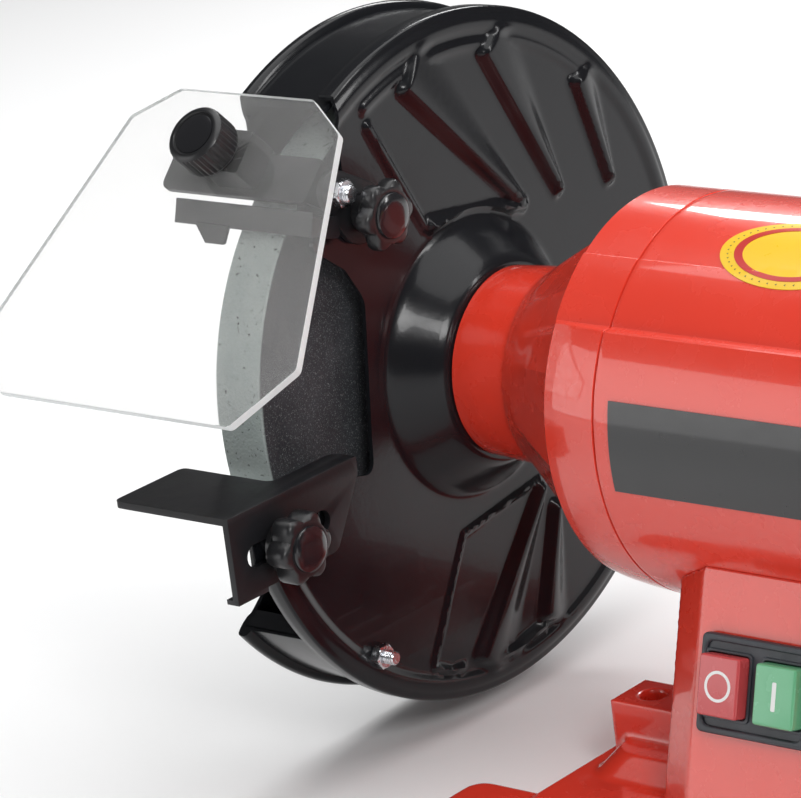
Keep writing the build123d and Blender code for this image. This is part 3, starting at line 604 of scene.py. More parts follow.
seam = [(from_left(105.8), inset_section(0.5))]
bell = body_form("end_bell_look_left", bell_stations() + seam, RED,
                 [(from_left(105.8), 62), (from_left(86), 61), (from_left(52), 37.5), (from_left(38), 24),
                  (from_left(16), 14)])
bell_right = mirrored(bell, "end_bell_look_right")
place(bell, "frame", "end_bell_left")
place(bell_right, "frame", "end_bell_right")

SHELL_HALF = 57.0       # the centre shell reaches this far on each side of the middle
SEAM_LIPS = ((0.2, inset_section(0.5)), (0.4, inset_section(0.1)), (0.8, section_radius))
shell_rows = [(-SHELL_HALF + x, f) for x, f in SEAM_LIPS]
shell_rows += [(x, section_radius) for x in np.linspace(-SHELL_HALF + 2, SHELL_HALF - 2, 24)]
shell_rows += [(SHELL_HALF - x, f) for x, f in reversed(SEAM_LIPS)]
shell = body_form("motor_shell_look", shell_rows, RED, [(SHELL_HALF - 0.2, 62), (-SHELL_HALF + 0.2, 62)])
place(shell, "frame", "motor_shell")


# ------------------------------------------------------------------ name plate and badge
def wrapped(name, columns, rows, radius_of, thick, material):
    """A thin curved plate: columns are x, rows are angles; radius_of gives the surface under it."""
    verts, faces = [], []
    for lift in (0.0, thick):
        for a in rows:
            for x in columns:
                r = radius_of(a) + lift
                verts.append((x, -r * math.cos(a), SPINDLE_Z + r * math.sin(a)))
    nc, nr = len(columns), len(rows)
    half_count = nc * nr
    for j in range(nr - 1):
        for i in range(nc - 1):
            a, b, c, d = j * nc + i, j * nc + i + 1, (j + 1) * nc + i + 1, (j + 1) * nc + i
            faces += [(a, b, c, d), tuple(half_count + q for q in (d, c, b, a))]
    rim = [i for i in range(nc)] + [j * nc + nc - 1 for j in range(1, nr)]
    rim += [(nr - 1) * nc + i for i in range(nc - 2, -1, -1)] + [j * nc for j in range(nr - 2, 0, -1)]
    for p, q in zip(rim, rim[1:] + rim[:1]):
        faces.append((p, q, half_count + q, half_count + p))
    obj = mesh_object(name, verts, faces, material)
    tidy_normals(obj)
    return obj


def angles_between(low, high, count):
    return [math.radians(a) for a in np.linspace(low, high, count)]


board = wrapped("name_plate_board", list(np.linspace(-50.4, 50.4, 30)), angles_between(-9.7, 15.3, 30),
                section_radius, 0.55, PLATE)
board.name = "name_plate_look"
shade(board, 30)
place(board, "frame", "name_plate")


def oval_piece(name, outer, inner, lift, material, steps=96):
    """A band between two ovals of the badge, following the motor's crown."""
    angle0 = math.radians(65.7)
    verts, faces = [], []
    rings = np.linspace(outer, max(inner, 0.002), 10)
    for level in (0.0, lift):
        for ring in rings:
            for k in range(steps):
                t = 2 * math.pi * k / steps
                x = 29 * ring * math.cos(t)
                a = angle0 + 16 * ring * math.sin(t) / CAP_R
                r = max(section_radius(a), CAP_R + 0.1) + level
                verts.append((x, -r * math.cos(a), SPINDLE_Z + r * math.sin(a)))
    n = len(rings)
    for level in (0, 1):
        faces += [tuple(level * n * steps + q for q in face) for face in ring_faces(n, steps)]
    for i in (0, n - 1):
        for k in range(steps):
            m = (k + 1) % steps
            faces.append((i * steps + k, i * steps + m, (n + i) * steps + m, (n + i) * steps + k))
    obj = mesh_object(name, verts, faces, material)
    tidy_normals(obj)
    return obj


badge_parts = [
    oval_piece("badge_field", 0.985, 0.0, 0.30, YELLOW),
    oval_piece("badge_ring", 0.80, 0.69, 0.45, BADGE_RED),
]
for k in range(48):
    t = 2 * math.pi * k / 48
    a = math.radians(65.7) + 16 * 0.885 * math.sin(t) / CAP_R
    r = max(section_radius(a), CAP_R + 0.1) + 0.28
    centre = (29 * 0.885 * math.cos(t), -r * math.cos(a), SPINDLE_Z + r * math.sin(a))
    outward = (0, -math.cos(a), math.sin(a))
    badge_parts.append(spun("badge_tick", [(0, 0.42), (0.07, 0.42)], centre, outward, BADGE_INK, 3))
badge = join(badge_parts, "oval_badge_look")
shade(badge, 30)
place(badge, "frame", "oval_badge")


# ------------------------------------------------------------------ wheel guards
def smooth_step(t):
    t = np.clip(t, 0.0, 1.0)
    return t * t * (3 - 2 * t)


def pleat(y, z, outer, inner, wall, wide_outer, wide_inner, height, tip=4.0):
    """One pressed fold: a steep wall on the left of its crest, a slope that widens outwards on the right."""
    (ay, az), (by, bz) = outer, inner
    length = math.hypot(by - ay, bz - az)
    ty, tz = (by - ay) / length, (bz - az) / length
    along = (y - ay) * ty + (z - az) * tz
    across = -((y - ay) * tz - (z - az) * ty)
    across = across if az > 0 else -across
    t = np.clip(along / length, 0, 1)
    wide = wide_outer + (wide_inner - wide_outer) * t
    left = smooth_step(1 + across / wall)
    right = 1 - smooth_step(across / wide)
    ends = smooth_step((along + 2.5) / 3.5) * smooth_step((length + 1.5 - along) / tip)
    return height * np.where(across < 0, left, right) * ends


def crease(y, z, points, half_width, height):
    """A raised bead along a polyline."""
    total = np.zeros_like(y)
    for (ay, az), (by, bz) in zip(points, points[1:]):
        dy, dz = by - ay, bz - az
        t = np.clip(((y - ay) * dy + (z - az) * dz) / (dy * dy + dz * dz), 0, 1)
        distance = np.hypot(y - ay - t * dy, z - az - t * dz)
        total = np.maximum(total, 1 - smooth_step(distance / half_width))
    return height * total


def plate_relief(y, z):
    """Pressed pattern of the guard plate, in millimetres towards the motor."""
    r = np.hypot(y, z)
    folds = [
        ((-22.0, 103.5), (34.5, 46.0), 4.8, 24.0, 3.0, 3.4),
        ((22.0, 105.0), (56.0, 43.5), 4.8, 22.0, 3.0, 3.4),
        ((71.0, 81.5), (85.0, 39.0), 4.8, 14.0, 3.0, 3.2),
        ((-17.5, -108.5), (27.5, -57.0), 5.6, 20.0, 3.0, 3.2),
        ((20.0, -106.5), (34.0, -66.0), 5.6, 15.0, 3.0, 3.0),
    ]
    relief = np.zeros_like(y)
    for outer, inner, wall, wide_outer, wide_inner, height in folds:
        relief = np.maximum(relief, pleat(y, z, outer, inner, wall, wide_outer, wide_inner, height))
    relief = np.maximum(relief, crease(y, z, ((-41.5, 94.5), (-19.0, 53.0)), 3.0, 1.4))
    relief = np.maximum(relief, crease(y, z, ((-16.0, 52.4), (34.0, 45.5)), 4.2, 3.2))
    relief = np.maximum(relief, crease(y, z, ((-42.0, -100.5), (-18.5, -60.5), (26.0, -55.0)), 2.0, 1.0))
    relief = np.maximum(relief, crease(y, z, ((-42, -102), (-33, -107), (-27, -107.5)), 2.2, 1.3))
    relief = np.maximum(relief, crease(y, z, ((-14, -109.5), (2, -111.5), (18, -109)), 3.2, 2.2))
    for low, high, reach in ((67.5, 103.5, 109.5), (109.5, 134.5, 111.5)):
        arc = [polar(reach, a) for a in np.linspace(low, high, 14)]
        relief = np.maximum(relief, crease(y, z, arc, 3.6, 1.1))
    bead = 1.1 * (smooth_step((r - 112.5) / 3.0) - smooth_step((r - 117.5) / 3.2))
    return relief * smooth_step((r - 50.5) / 3.0) * smooth_step((117.0 - r) / 3.0) + bead


def guard_skin(name, rows, steps):
    """A closed guard shell from rows of (x, y, z) arrays, each once round the spindle."""
    points = []
    for x, y, z in rows:
        points += [(from_left(px), py, SPINDLE_Z + pz) for px, py, pz in zip(x, y, z)]
    obj = mesh_object(name, points, ring_faces(len(rows), steps, closed=True), BLACK)
    tidy_normals(obj)
    return obj


def guard_plate_shell():
    """The pressed plate from the boss outwards: embossed field, rim, then back along the wheel side."""
    radii = [16, 16.6, 20, 26, 32, 34.2, 35.2, 36.4, 38, 41, 44, 46.6, 48.4, 49.6, 51]
    radii += list(np.arange(52.5, 120.6, 1.15))
    depth = []
    for r in radii:
        depth.append(float(np.interp(r, (16, 34.2, 35.2, 36.4, 47.4, 48.6, 49.8, 51),
                                     (16, 16, 15.8, 14.9, 1.9, 0.8, 0.15, 0))))
    steps = 540
    a = np.linspace(0, 2 * math.pi, steps, endpoint=False)
    verts = []
    for r, x in zip(radii, depth):
        y, z = -r * np.cos(a), r * np.sin(a)
        lift = plate_relief(y, z) if r > 49 else np.zeros_like(y)
        lift = np.where(r < 49, 0, lift)
        verts.append((np.full(steps, x) + lift, y, z))
    for x, r in ((0.0, 121.4), (-0.25, 122.0), (-0.8, 122.4), (-1.6, 122.5), (-4.0, 122.5), (-6.6, 122.5),
                 (-7.0, 122.2), (-7.0, 121.2), (-6.6, 120.9), (-1.9, 120.9), (-1.6, 120.4)):
        verts.append((np.full(steps, x), -r * np.cos(a), r * np.sin(a)))
    for r, x in list(zip(radii, depth))[::-1]:
        y, z = -r * np.cos(a), r * np.sin(a)
        lift = plate_relief(y, z) if r > 49 else np.zeros_like(y)
        thick = 1.6 if (r < 36 or r > 48) else 1.9
        verts.append((np.full(steps, x) + np.where(r < 49, 0, lift) - thick, y, z))
    return guard_skin("guard_plate_look_left", verts, steps)


NOTCH = [(-55.6, 109.2), (-57, 70), (-77, 62), (-61.4, 50), (-53.5, 37), (-59, -12), (-60, -24), (-75, -20),
         (-121.5, -15), (-165, -15), (-165, 135), (-55.6, 135)]
NOTCH_R = [3, 3, 3, 6, 10, 10, 6, 4, 2, 0, 0, 0]
REST_STUD = (-116.0, -28.5)
ARM_STUD = (-52.5, 68.0)
COVER_POINTS = [polar(111.6, a) for a in (-51, -140, -184)]

guard = guard_plate_shell()
cut(guard, [
    side_shape("notch", rounded(NOTCH, NOTCH_R), -9, 13, BLACK),
    side_shape("rest_gap", circle(*REST_STUD, 9, 48), -9, 12, BLACK),
])
shade(guard, 40)
weld_nut = hexagon("weld_nut", side_point(-5.6, *ARM_STUD), (1, 0, 0), 10, 4.0, BLACK)
shade(weld_nut, 30)
guard = join([guard, weld_nut], "guard_plate_look_left")
both(guard, "guard_plate", "frame", root=True)


def cover_relief(y, z):
    """Shallow pressed spokes on the cover's outer face, in millimetres outwards."""
    r = np.hypot(y, z)
    a = np.arctan2(z, y)
    spokes = np.clip(np.cos(a * 9) * 3.2 - 1.6, 0, 1)
    return 1.3 * smooth_step(spokes) * smooth_step((r - 56) / 6) * smooth_step((108 - r) / 6)


def guard_cover_shell():
    """The outer cover from the hub outwards: embossed face, corner, band, then back along the inside."""
    steps = 432
    a = np.linspace(0, 2 * math.pi, steps, endpoint=False)
    outer = [(-50, 0.5), (-50, 20), (-50, 33), (-49.6, 35), (-48.8, 36.3), (-42.6, 42.6), (-41.4, 44.2),
             (-41, 46.5)]
    face = [(-39.7, r) for r in list(np.arange(48.5, 116.5, 1.7))]
    rim = [(-41, 117.5), (-41, 119.6), (-40.8, 121.3), (-40.2, 122.2), (-39, 122.5), (-37.6, 122.4),
           (-36.6, 121.7), (-36.1, 120.6), (-35.9, 119.6), (-30, 119.5), (-18, 119.5), (-6, 119.5),
           (-3.2, 119.5), (-3, 119.2),
           (-3, 118.1), (-3.3, 117.9), (-20, 117.9), (-38.2, 117.9), (-39.2, 117.2)]
    inner = [(-38.2, r) for r in list(np.arange(48.5, 116.5, 1.7))[::-1]]
    inner += [(-39.4, 46.5), (-39.6, 43.4), (-47.4, 35.6), (-48.4, 33), (-48.4, 20), (-48.4, 0.5)]
    rows = []
    for group, lifted in ((outer, False), (face, True), (rim, False), (inner, None)):
        for x, r in group:
            y, z = -r * np.cos(a), r * np.sin(a)
            lift = np.zeros_like(y)
            if lifted or (lifted is None and r > 48):
                blend = 1.3 * (smooth_step((52 - r) / 3.5) + smooth_step((r - 112.5) / 3.5))
                lift = np.minimum(blend + cover_relief(y, z), 1.3)
            rows.append((np.full(steps, x) - lift, y, z))
    return guard_skin("guard_cover_look_left", rows, steps)


MOUTH_ANGLE = -38.3     # where the lower edge of the mouth lies, in degrees above the horizontal
MOUTH = math.radians(MOUTH_ANGLE)
mouth = [(-57, -38), (-57, 140), (-170, 140), (-170, 170 * math.tan(MOUTH)), polar(82, MOUTH_ANGLE)]
cover = guard_cover_shell()
cut(cover, [side_shape("mouth", rounded(mouth, [8, 0, 0, 0, 6]), -54, 56, BLACK)])
shade(cover, 40)
lip = [(-r * math.cos(MOUTH) - t * math.sin(MOUTH), r * math.sin(MOUTH) - t * math.cos(MOUTH))
       for r, t in ((111.5, 0), (119, 0), (119, 1.6), (111.5, 1.6))]
lip_piece = side_shape("lip", lip, -39.5, 36.5, BLACK)
soften(lip_piece, 0.4)
tabs = [lip_piece]
for y, z in COVER_POINTS:
    grow = 118.2 / math.hypot(y, z)
    side = Vector((-z, y)).normalized() * 7
    tab = [(y - side.x, z - side.y), (y + side.x, z + side.y), (y * grow + side.x, z * grow + side.y),
           (y * grow - side.x, z * grow - side.y)]
    piece = side_shape("tab", rounded(tab, [5, 5, 0, 0]), -4.6, 3.0, BLACK)
    soften(piece, 0.4)
    tabs.append(piece)
cover = join([cover] + tabs, "guard_cover_look_left")
both(cover, "guard_cover", "frame", root=True)

screws = []
for y, z in COVER_POINTS:
    screws.append(hexagon("head", side_point(-8.1, y, z), (1, 0, 0), 8, 3.5, ZINC))
    screws.append(hexagon("nut", side_point(0.0, y, z), (1, 0, 0), 8, 4.0, ZINC))
    face = [(0, 3.9), (0.25, 4.0), (0.5, 3.7)]
    screws.append(spun("washer_face", face, side_point(3.6, y, z), (1, 0, 0), ZINC, 48))
    screws.append(threaded("thread", side_point(-4.6, y, z), (1, 0, 0), 2.45, 12.9, ZINC))
for screw in screws:
    shade(screw, 30)
left_screws = join(screws, "cover_screws_look")
right_screws = mirrored(left_screws, "cover_screws_mirror")
cover_screws = join([left_screws, right_screws], "cover_screws_look")
place(cover_screws, "frame", "cover_screws")

boss_screws = []
for angle in (45, 135, 225, 315):
    y, z = polar(27, angle)
    boss_screws.append(hexagon("head", side_point(10.9, y, z), (1, 0, 0), 8, 3.5, ZINC))
    boss_screws.append(threaded("thread", side_point(14.4, y, z), (1, 0, 0), 2.5, 10, ZINC))
for screw in boss_screws:
    shade(screw, 30)
left_screws = join(boss_screws, "guard_screws_look")
guard_screws = join([left_screws, mirrored(left_screws, "guard_screws_mirror")], "guard_screws_look")
place(guard_screws, "frame", "guard_screws")


# ------------------------------------------------------------------ grinding wheels
def wheel_profile():
    points = [(-31, 8), (-31, 30), (-31, 60), (-31, 99.3), (-30.3, 100)]
    points += [(x, 100) for x in (-26, -21, -16)]
    points += [(-11.7, 100), (-11, 99.3), (-11, 60), (-11, 30), (-11, 8), (-16, 8), (-26, 8)]
    return [(from_left(x), r) for x, r in points]


wheel = lathe("wheel", wheel_profile(), GRAIN, 240, close=True)
shade(wheel, 30)
both(wheel, "grinding_wheel", "rotor", root=True)

nuts = []
for side in (-1, 1):
    origin = (side * (PLATE_X + 35.6), 0, SPINDLE_Z)
    nuts.append(hexagon("nut", origin, (side, 0, 0), 24, 8.0, TURNED))
for nut in nuts:
    shade(nut, 30)
spindle_nuts = join(nuts, "spindle_nuts_look")
place(spindle_nuts, "rotor", "spindle_nuts")


# ------------------------------------------------------------------ tool rests
def united(pieces, name):
    """One closed solid from overlapping closed pieces."""
    base = pieces[0]
    for piece in pieces[1:]:
        mod = base.modifiers.new("union", "BOOLEAN")
        mod.operation = "UNION"
        mod.solver = "EXACT"
        mod.object = piece
        apply_modifiers(base)
        bpy.data.objects.remove(piece)
    base.name = name
    return base


table = [(-47, -139), (4.8, -139), (4.8, -73.5), (-6, -73.5), (-6, -104.5), (-47, -104.5)]
table = rounded(table, [3, 0, 2.5, 4, 4, 3])
rest = extruded("table", table, (from_left(0), 0, SPINDLE_Z - 14.5), (1, 0, 0), (0, 1, 0), 2.5, SATIN)
flange = [(-139, -12), (-73.5, -12), (-73.5, -18), (-88, -41), (-139, -41)]
slot = slot_outline(-132, -90, -28.5, 4)
side = side_shape("flange", rounded(flange, [0, 0, 2, 5, 0]), 2.3, 2.5, SATIN, [slot])
hem = [(-0.5, -139), (4.8, -139), (4.8, -124), (-0.5, -124)]
hem = extruded("hem", hem, (from_left(0), 0, SPINDLE_Z - 42.5), (1, 0, 0), (0, 1, 0), 1.7, SATIN)
rest = united([rest, side, hem], "tool_rest")
soften(rest, 0.7, 3)
both(rest, "tool_rest", "rest")

bracket = [(-126, -40), (-92, -40), (-92, -17), (-126, -15.5)]
bracket = side_shape("bracket", rounded(bracket, [3, 3, 3, 3]), 0, 2, BLACK, [circle(*REST_STUD, 3.1, 32)])
soften(bracket, 0.4)
rest_nut = hexagon("rest_nut", side_point(-4, *REST_STUD), (1, 0, 0), 10, 4, ZINC)
shade(rest_nut, 30)
both(join([bracket, rest_nut], "rest_bracket"), "rest_bracket", "frame", root=True)


def star(a, s, r):
    lobe = (0.5 + 0.5 * math.cos(6 * a)) ** 0.62
    return r * (0.765 + 0.235 * lobe) if r > 9.6 else r


def star_knob(stud, hub_x0, head_x0, head_x1, hub_r, stud_x0):
    """A six-lobed clamping knob with a domed cap and a screwed stud."""
    low, top = head_x0 - hub_x0, head_x1 - hub_x0 - 2
    body = [(0, hub_r - 0.5), (0.4, hub_r), (low - 0.4, hub_r), (low, 9.59), (low + 0.3, 11.2),
            (low + 1.0, 12.2), (low + 1.8, 12.5), (top - 2.0, 12.5), (top - 1.1, 12.25), (top - 0.4, 11.6),
            (top, 10.4), (top + 0.05, 9.59),
            (top + 0.3, 8.9), (top + 0.2, 8.3)]
    head = spun("knob", body, side_point(hub_x0, *stud), (1, 0, 0), KNOB, 144, star)
    cap = [(-1.0, 8.0), (0.5, 8.0), (1.2, 7.7), (1.7, 6.6), (1.95, 4.5), (2.0, 2.0)]
    cap = spun("cap", cap, side_point(hub_x0 + top, *stud), (1, 0, 0), KNOB_CAP, 64)
    stud_piece = threaded("stud", side_point(stud_x0, *stud), (1, 0, 0), 3.0, hub_x0 - stud_x0 + 1, ZINC)
    for piece in (head, cap, stud_piece):
        shade(piece, 32)
    return join([head, cap, stud_piece], "star_knob")


both(star_knob(REST_STUD, 5.2, 8.5, 20, 8, -5), "rest_knob", "rest_knob")
both(star_knob(ARM_STUD, 3.2, 9.5, 18, 6.5, -7), "arm_knob", "arm_knob")


# ------------------------------------------------------------------ spark arresters
PIVOT = (-62.7, 77.7)


def hull_of_circles(c1, r1, c2, r2, steps=24):
    """The outline round two circles."""
    (ax, ay), (bx, by) = c1, c2
    along = math.atan2(by - ay, bx - ax)
    spread = math.acos((r1 - r2) / math.hypot(bx - ax, by - ay))
    points = []
    for k in range(steps + 1):
        t = along + spread + (2 * math.pi - 2 * spread) * k / steps
        points.append((ax + r1 * math.cos(t), ay + r1 * math.sin(t)))
    for k in range(steps + 1):
        t = along - spread + 2 * spread * k / steps
        points.append((bx + r2 * math.cos(t), by + r2 * math.sin(t)))
    return points


def turned_slot(centre, direction, overall, half):
    c, s = direction
    run = slot_outline(-overall / 2, overall / 2, 0, half)
    return [(centre[0] + p * c - q * s, centre[1] + p * s + q * c) for p, q in run]


run = (0.768, -0.6406)
slot_centre = (ARM_STUD[0] + 2.3 * run[0], ARM_STUD[1] + 2.3 * run[1])
arm = side_shape("arm", hull_of_circles(ARM_STUD, 11, PIVOT, 7.5), 0.3, 2.5, SATIN,
                 [turned_slot(slot_centre, run, 15, 3.5), circle(*PIVOT, 3.0, 32)])
soften(arm, 0.4)
both(arm, "shield_arm", "arm")

pivot = [
    hexagon("pivot_head", side_point(-7.5, *PIVOT), (1, 0, 0), 9, 3.1, ZINC),
    spun("pivot_spacer", [(0, 4.0), (0.3, 4.4), (1.8, 4.4), (2.1, 4.0)], side_point(-1.8, *PIVOT),
         (1, 0, 0), ZINC, 48),
    spun("pivot_shank", [(0, 3.0), (3.8, 3.0)], side_point(-4.5, *PIVOT), (1, 0, 0), ZINC, 32),
    spun("pivot_core", [(0, 3.0), (4.6, 3.0)], side_point(-1.0, *PIVOT), (1, 0, 0), ZINC, 32),
    hexagon("pivot_nut", side_point(2.8, *PIVOT), (1, 0, 0), 9, 3.7, ZINC),
    threaded("pivot_tip", side_point(3.5, *PIVOT), (1, 0, 0), 3.0, 5.5, ZINC),
]
for piece in pivot:
    shade(piece, 30)
both(join(pivot, "shield_pivot"), "shield_pivot", "arm")

blade = [(-79.5, 66.5), (-77, 74.5), (-75.6, 74.1), (-78.1, 66.1)]
blade = side_shape("blade", blade, -58, 62.3, SATIN)
tooth = [(-48, 67.5), (-32.5, 67.5), (-36, 60.5), (-44.5, 60.5)]
tooth = extruded("tooth", tooth, (from_left(0), -78.6, SPINDLE_Z), (1, 0, 0), (0, 0, 1), 1.4, SATIN)
tab = rounded([(-79, 66.5), (-66, 63), (-66, 71), (-77.5, 72.5)], [0, 2, 2, 0])
tab = side_shape("tab", tab, 2.8, 1.5, SATIN)
deflector = united([blade, tooth, tab], "spark_deflector")
soften(deflector, 0.3)
both(deflector, "spark_deflector", "arm")


# ------------------------------------------------------------------ eye shields
KNOB_S = -5.0
SHIELD_UP = Vector((0, math.sin(math.radians(45)), math.cos(math.radians(45))))
SHIELD_OUT = Vector((0, -math.sin(math.radians(45)), math.cos(math.radians(45))))
SHIELD_AT = Vector((from_left(-34), -82.5, SPINDLE_Z + 89))


def on_shield(x, s, n):
    """Row position of a point given across, down and in front of the shield."""
    return SHIELD_AT + Vector((x, 0, 0)) - SHIELD_UP * s + SHIELD_OUT * n


def shield_piece(name, outline, n0, n1, material, holes=()):
    """A flat shape drawn as (across, down) between two distances in front of the shield."""
    return extruded(name, outline, on_shield(0, 0, n0), (1, 0, 0), tuple(SHIELD_UP), n1 - n0, material, holes)


outline = [(30, 29), (47.5, 17), (71, -68), (53, -91), (-53, -91), (-71, -68), (-47.5, 17), (-30, 29)]
sheet = shield_piece("sheet", rounded(outline, [3] * 8, 8), -3, 0, CLEAR, [circle(0, -KNOB_S, 2.9, 32)])
sheet.data.materials.append(CUT)
bevel(sheet, 0.25, 2, 50)
for face in sheet.data.polygons:
    if abs(face.normal.dot(SHIELD_OUT)) < 0.9:
        face.material_index = 1
shade(sheet)
both(sheet, "eye_shield", "shield")

block = shield_piece("block", rounded([(-9, 16), (-9, 0), (9, 0), (9, 16)], [1.5] * 4), -15.2, -3, SATIN,
                     [circle(0, -KNOB_S, 2.6, 32)])
bar = rounded([(-34, 14), (-34, -3), (31.9, -3), (31.9, 14)], [4, 4, 2, 2])
bar = shield_piece("bar", bar, -17, -15, SATIN, [circle(0, -KNOB_S, 2.6, 32)])
corners = []
for s, n in ((-13, -17), (-13, -15), (2, -15), (2, -17)):
    corner = on_shield(0, s, n)
    corners.append((corner.y, corner.z - SPINDLE_Z))
points = [Vector(c) for c in corners] + [Vector(c) for c in circle(*PIVOT, 6.5, 48)]


def convex(points):
    """Convex outline of 2-D points, anticlockwise."""
    ordered = sorted({(round(p[0], 4), round(p[1], 4)) for p in points})
    chains = []
    for run_of in (ordered, ordered[::-1]):
        chain = []
        for p in run_of:
            while len(chain) > 1 and ((chain[-1][0] - chain[-2][0]) * (p[1] - chain[-2][1])
                                      - (chain[-1][1] - chain[-2][1]) * (p[0] - chain[-2][0])) <= 0:
                chain.pop()
            chain.append(p)
        chains += chain[:-1]
    return chains


ear = side_shape("ear", convex(points), -4.1, 2, SATIN, [circle(*PIVOT, 3.05, 32)])
holder = united([bar, block, ear], "shield_bar")
soften(holder, 0.4)
holder_nut = hexagon("holder_nut", on_shield(0, KNOB_S, -17), tuple(-SHIELD_OUT), 8, 2.5, ZINC)
shade(holder_nut, 30)
both(join([holder, holder_nut], "shield_bar"), "shield_bar", "shield")


def knurl(a, s, r):
    return r - 0.5 * (0.5 + 0.5 * math.cos(36 * a)) if 10.4 < r and 1.3 < s < 11.2 else r


def knob_part(name, stations, n, material, steps, radial=None):
    """A turned part of the shield knob that starts n in front of the shield."""
    return spun(name, stations, on_shield(0, KNOB_S, n), tuple(SHIELD_OUT), material, steps, radial)


skirt = knob_part("skirt", [(0, 7.2), (0.3, 7.5), (3.0, 7.5)], 0.4, KNOB, 64)
head = [(0, 8.6), (0.3, 9.8), (1.2, 10.5), (1.5, 10.7), (2.0, 10.8), (10.4, 10.8), (11.0, 10.6),
        (11.3, 10.5), (12.0, 9.9), (12.5, 8.9), (12.5, 8.2), (11.9, 7.9), (11.8, 7.5)]
head = knob_part("head", head, 3, KNOB, 240, knurl)
cap = knob_part("cap", [(0, 7.5), (0.5, 7.3), (0.8, 6.0), (0.9, 3.0)], 14.6, KNOB_CAP, 64)
stud = threaded("stud", on_shield(0, KNOB_S, -19.8), tuple(SHIELD_OUT), 2.5, 23.8, ZINC)
for piece in (skirt, head, cap, stud):
    shade(piece, 32)
both(join([head, skirt, cap, stud], "shield_knob"), "shield_knob", "shield_knob")


# ------------------------------------------------------------------ switch
TILT = math.radians(17.1)
PANEL_AT = Vector((0, -70, 58))
PANEL_OUT = Vector((0, -math.cos(TILT), math.sin(TILT)))
PANEL_UP = Vector((0, math.sin(TILT), math.cos(TILT)))


def panel_piece(name, outline, n0, n1, material, holes=()):
    """A shape drawn as (across, up) on the switch panel, between two distances in front of it."""
    origin = PANEL_AT + PANEL_OUT * n0
    return extruded(name, outline, origin, (1, 0, 0), tuple(PANEL_UP), n1 - n0, material, holes)


def box_outline(cx, cy, w, h, corner):
    w, h = w / 2, h / 2
    return rounded([(cx - w, cy - h), (cx + w, cy - h), (cx + w, cy + h), (cx - w, cy + h)], [corner] * 4, 6)


surround = panel_piece("surround", box_outline(0, 0, 43.4, 32.6, 2.5), 0, 3.5, GREY,
                       [box_outline(0, 0, 39.0, 27.6, 3.0)])
bevel(surround, 0.9, 3)
field = panel_piece("field", box_outline(0, 0, 39.6, 28.2, 3.0), 0, 2.3, GREY,
                    [box_outline(-11, 0, 16.6, 20.6, 1.3), box_outline(11, 0, 16.6, 20.6, 1.3)])
bevel(field, 0.3)
collars = [surround, field]
for x in (-11, 11):
    collar = panel_piece("collar", box_outline(x, 0, 18.8, 22.8, 2.0), 2.0, 3.0, GREY,
                         [box_outline(x, 0, 16.6, 20.6, 1.3)])
    bevel(collar, 0.3)
    collars.append(collar)
    sleeve = panel_piece("sleeve", box_outline(x, 0, 18.2, 22.2, 1.6), -8.8, 0.6, GREY,
                         [box_outline(x, 0, 16.6, 20.6, 1.3)])
    collars.append(sleeve)
for piece in collars:
    shade(piece)
switch_frame = join(collars, "switch_frame_look")
place(switch_frame, "frame", "switch_frame")


def key_cap(x, material, marks, name, body):
    """A push button with softly rounded edges, its printed mark and its plunger."""
    key = panel_piece("key", box_outline(x, 0, 15.9, 19.9, 1.4), -5.4, 7.9, material)
    bevel(key, 0.9, 4, 50)
    plunger = spun("plunger", [(0, 2.4), (7.8, 2.4)], PANEL_AT + Vector((x, 0, 0)) - PANEL_OUT * 12.9,
                   tuple(PANEL_OUT), material, 32)
    shade(key, 16)
    shade(plunger, 32)
    place(join([key, plunger] + marks, f"{name}_look"), body, name)


ring_mark = panel_piece("ring", circle(-11, 0, 5.1, 48), 7.86, 7.97, MARK, [circle(-11, 0, 4.1, 48)])
bar_mark = panel_piece("bar", box_outline(11, 0, 1.6, 9.4, 0.5), 7.86, 7.97, MARK)
key_cap(-11, STOP, [ring_mark], "stop_button", "stop_key")
key_cap(11, START, [bar_mark], "start_button", "start_key")


# ------------------------------------------------------------------ base casting
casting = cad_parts["base_casting"].copy()
casting.data = casting.data.copy()
casting.name = "base_casting_look"
bpy.context.scene.collection.objects.link(casting)
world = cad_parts["base_casting"].matrix_world.copy()
casting.parent = None
casting.matrix_world = Matrix.Identity(4)
casting.data.transform(world)
casting.data.materials.clear()
casting.data.materials.append(RED)
remesh = casting.modifiers.new("skin", "REMESH")
remesh.mode = "VOXEL"
remesh.voxel_size = 1.0 * MM
remesh.use_smooth_shade = True
relax = casting.modifiers.new("relax", "SMOOTH")
relax.factor = 0.5
relax.iterations = 5
apply_modifiers(casting)
place(casting, "frame", "base_casting")


# ------------------------------------------------------------------ remaining CAD pieces
FINISHES = (
    (ZINC, ("bottom_plate", "bottom_plate_screws", "tie_bolts", "pedestal_screws")),
    (RUBBER, ("rubber_feet",)),
    (CORE, ("stator_core", "rotor_core")),
    (COPPER, ("stator_windings",)),
    (NYLON, ("switch_body", "cable_gland")),
    (WHITE, ("run_capacitor", "terminal_block")),
    (TURNED, ("bearing_outer_rings", "bearing_inner_rings", "bearing_balls", "spindle", "wheel_flanges")),
    (PAPER, ("wheel_blotters",)),
)
for finish, nodes in FINISHES:
    for node in nodes:
        dress(node, finish)


# ------------------------------------------------------------------ floor, lights and camera
def floor_material():
    n = Nodes("floor")
    n.drive(n.mix(n.spread(n.noise(3, 2), 0, 1), (0.93, 0.93, 0.93), (0.915, 0.915, 0.92)), "Base Color")
    n.set(Roughness=0.7)
    return n.mat


bpy.ops.mesh.primitive_plane_add(size=8, location=(0, 0, 0))
floor = bpy.context.object
floor.name = "floor"
floor.data.materials.append(floor_material())


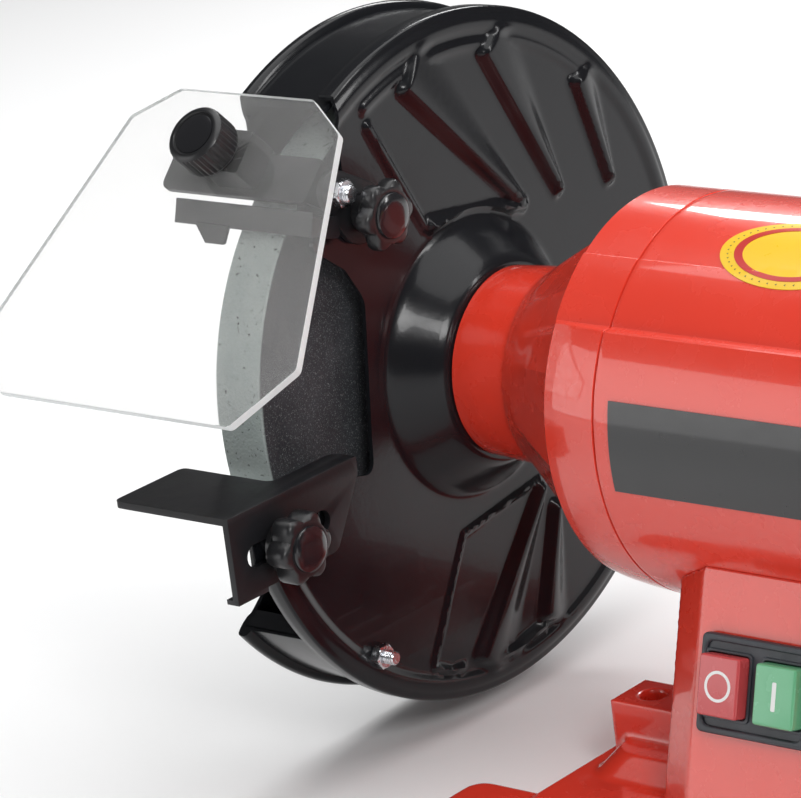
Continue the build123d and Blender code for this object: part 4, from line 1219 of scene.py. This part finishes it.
def area_light(name, location, target, size, power, colour=(1, 1, 1)):
    data = bpy.data.lights.new(name, "AREA")
    data.shape = "RECTANGLE"
    data.size, data.size_y = size
    data.energy = power
    data.color = colour
    lamp = bpy.data.objects.new(name, data)
    bpy.context.scene.collection.objects.link(lamp)
    lamp.location = location
    lamp.rotation_euler = (Vector(target) - Vector(location)).to_track_quat("-Z", "Y").to_euler()
    return lamp


area_light("top soft box", (0.1, 0.2, 1.7), (0, 0, 0.1), (2.2, 1.8), 28)
area_light("key soft box", (1.3, -1.0, 1.2), (0, 0, 0.12), (0.5, 0.5), 12)
area_light("right strip", (1.2, 0.7, 0.9), (0, 0, 0.15), (0.15, 1.0), 7)
area_light("back strip", (-0.6, 1.2, 1.0), (0, 0, 0.15), (0.9, 0.2), 8)
card = area_light("front reflector", (-1.05, -1.25, 0.42), (-0.05, 0, 0.14), (1.1, 0.8), 5.5)
card.visible_diffuse = False

scene = bpy.context.scene
world = bpy.data.worlds.new("studio") if scene.world is None else scene.world
scene.world = world
world.use_nodes = True
sky = world.node_tree.nodes["Background"]
sky.inputs["Color"].default_value = (1, 1, 1, 1)
path = world.node_tree.nodes.new("ShaderNodeLightPath")
seen = world.node_tree.nodes.new("ShaderNodeMath")
seen.operation = "MAXIMUM"
world.node_tree.links.new(path.outputs["Is Camera Ray"], seen.inputs[0])
world.node_tree.links.new(path.outputs["Is Transmission Ray"], seen.inputs[1])
soft = world.node_tree.nodes.new("ShaderNodeMath")
soft.operation = "MULTIPLY_ADD"
soft.inputs[1].default_value = 0.22
soft.inputs[2].default_value = 0.10
world.node_tree.links.new(path.outputs["Is Diffuse Ray"], soft.inputs[0])
strength = world.node_tree.nodes.new("ShaderNodeMath")
strength.operation = "MAXIMUM"
world.node_tree.links.new(seen.outputs[0], strength.inputs[0])
world.node_tree.links.new(soft.outputs[0], strength.inputs[1])
world.node_tree.links.new(strength.outputs[0], sky.inputs["Strength"])
scene.view_settings.view_transform = "Standard"

AZIMUTH, ELEVATION, ROLL = math.radians(42.15), math.radians(17.85), math.radians(-7.33)
flat = math.cos(ELEVATION)
back = Vector((math.sin(AZIMUTH) * flat, -math.cos(AZIMUTH) * flat, math.sin(ELEVATION)))
right = Vector((math.cos(AZIMUTH), math.sin(AZIMUTH), 0))
up = back.cross(right)
cam_x = right * math.cos(ROLL) + up * math.sin(ROLL)
cam_y = up * math.cos(ROLL) - right * math.sin(ROLL)
lens = bpy.data.cameras.new("camera")
lens.lens = 192.85
lens.sensor_width = 36
lens.sensor_fit = "HORIZONTAL"
camera = bpy.data.objects.new("camera", lens)
scene.collection.objects.link(camera)
camera.matrix_world = Matrix((
    (cam_x.x, cam_y.x, back.x, 0.7795),
    (cam_x.y, cam_y.y, back.y, -1.0833),
    (cam_x.z, cam_y.z, back.z, 0.5809),
    (0, 0, 0, 1),
))
scene.camera = camera

bpy.context.view_layer.update()
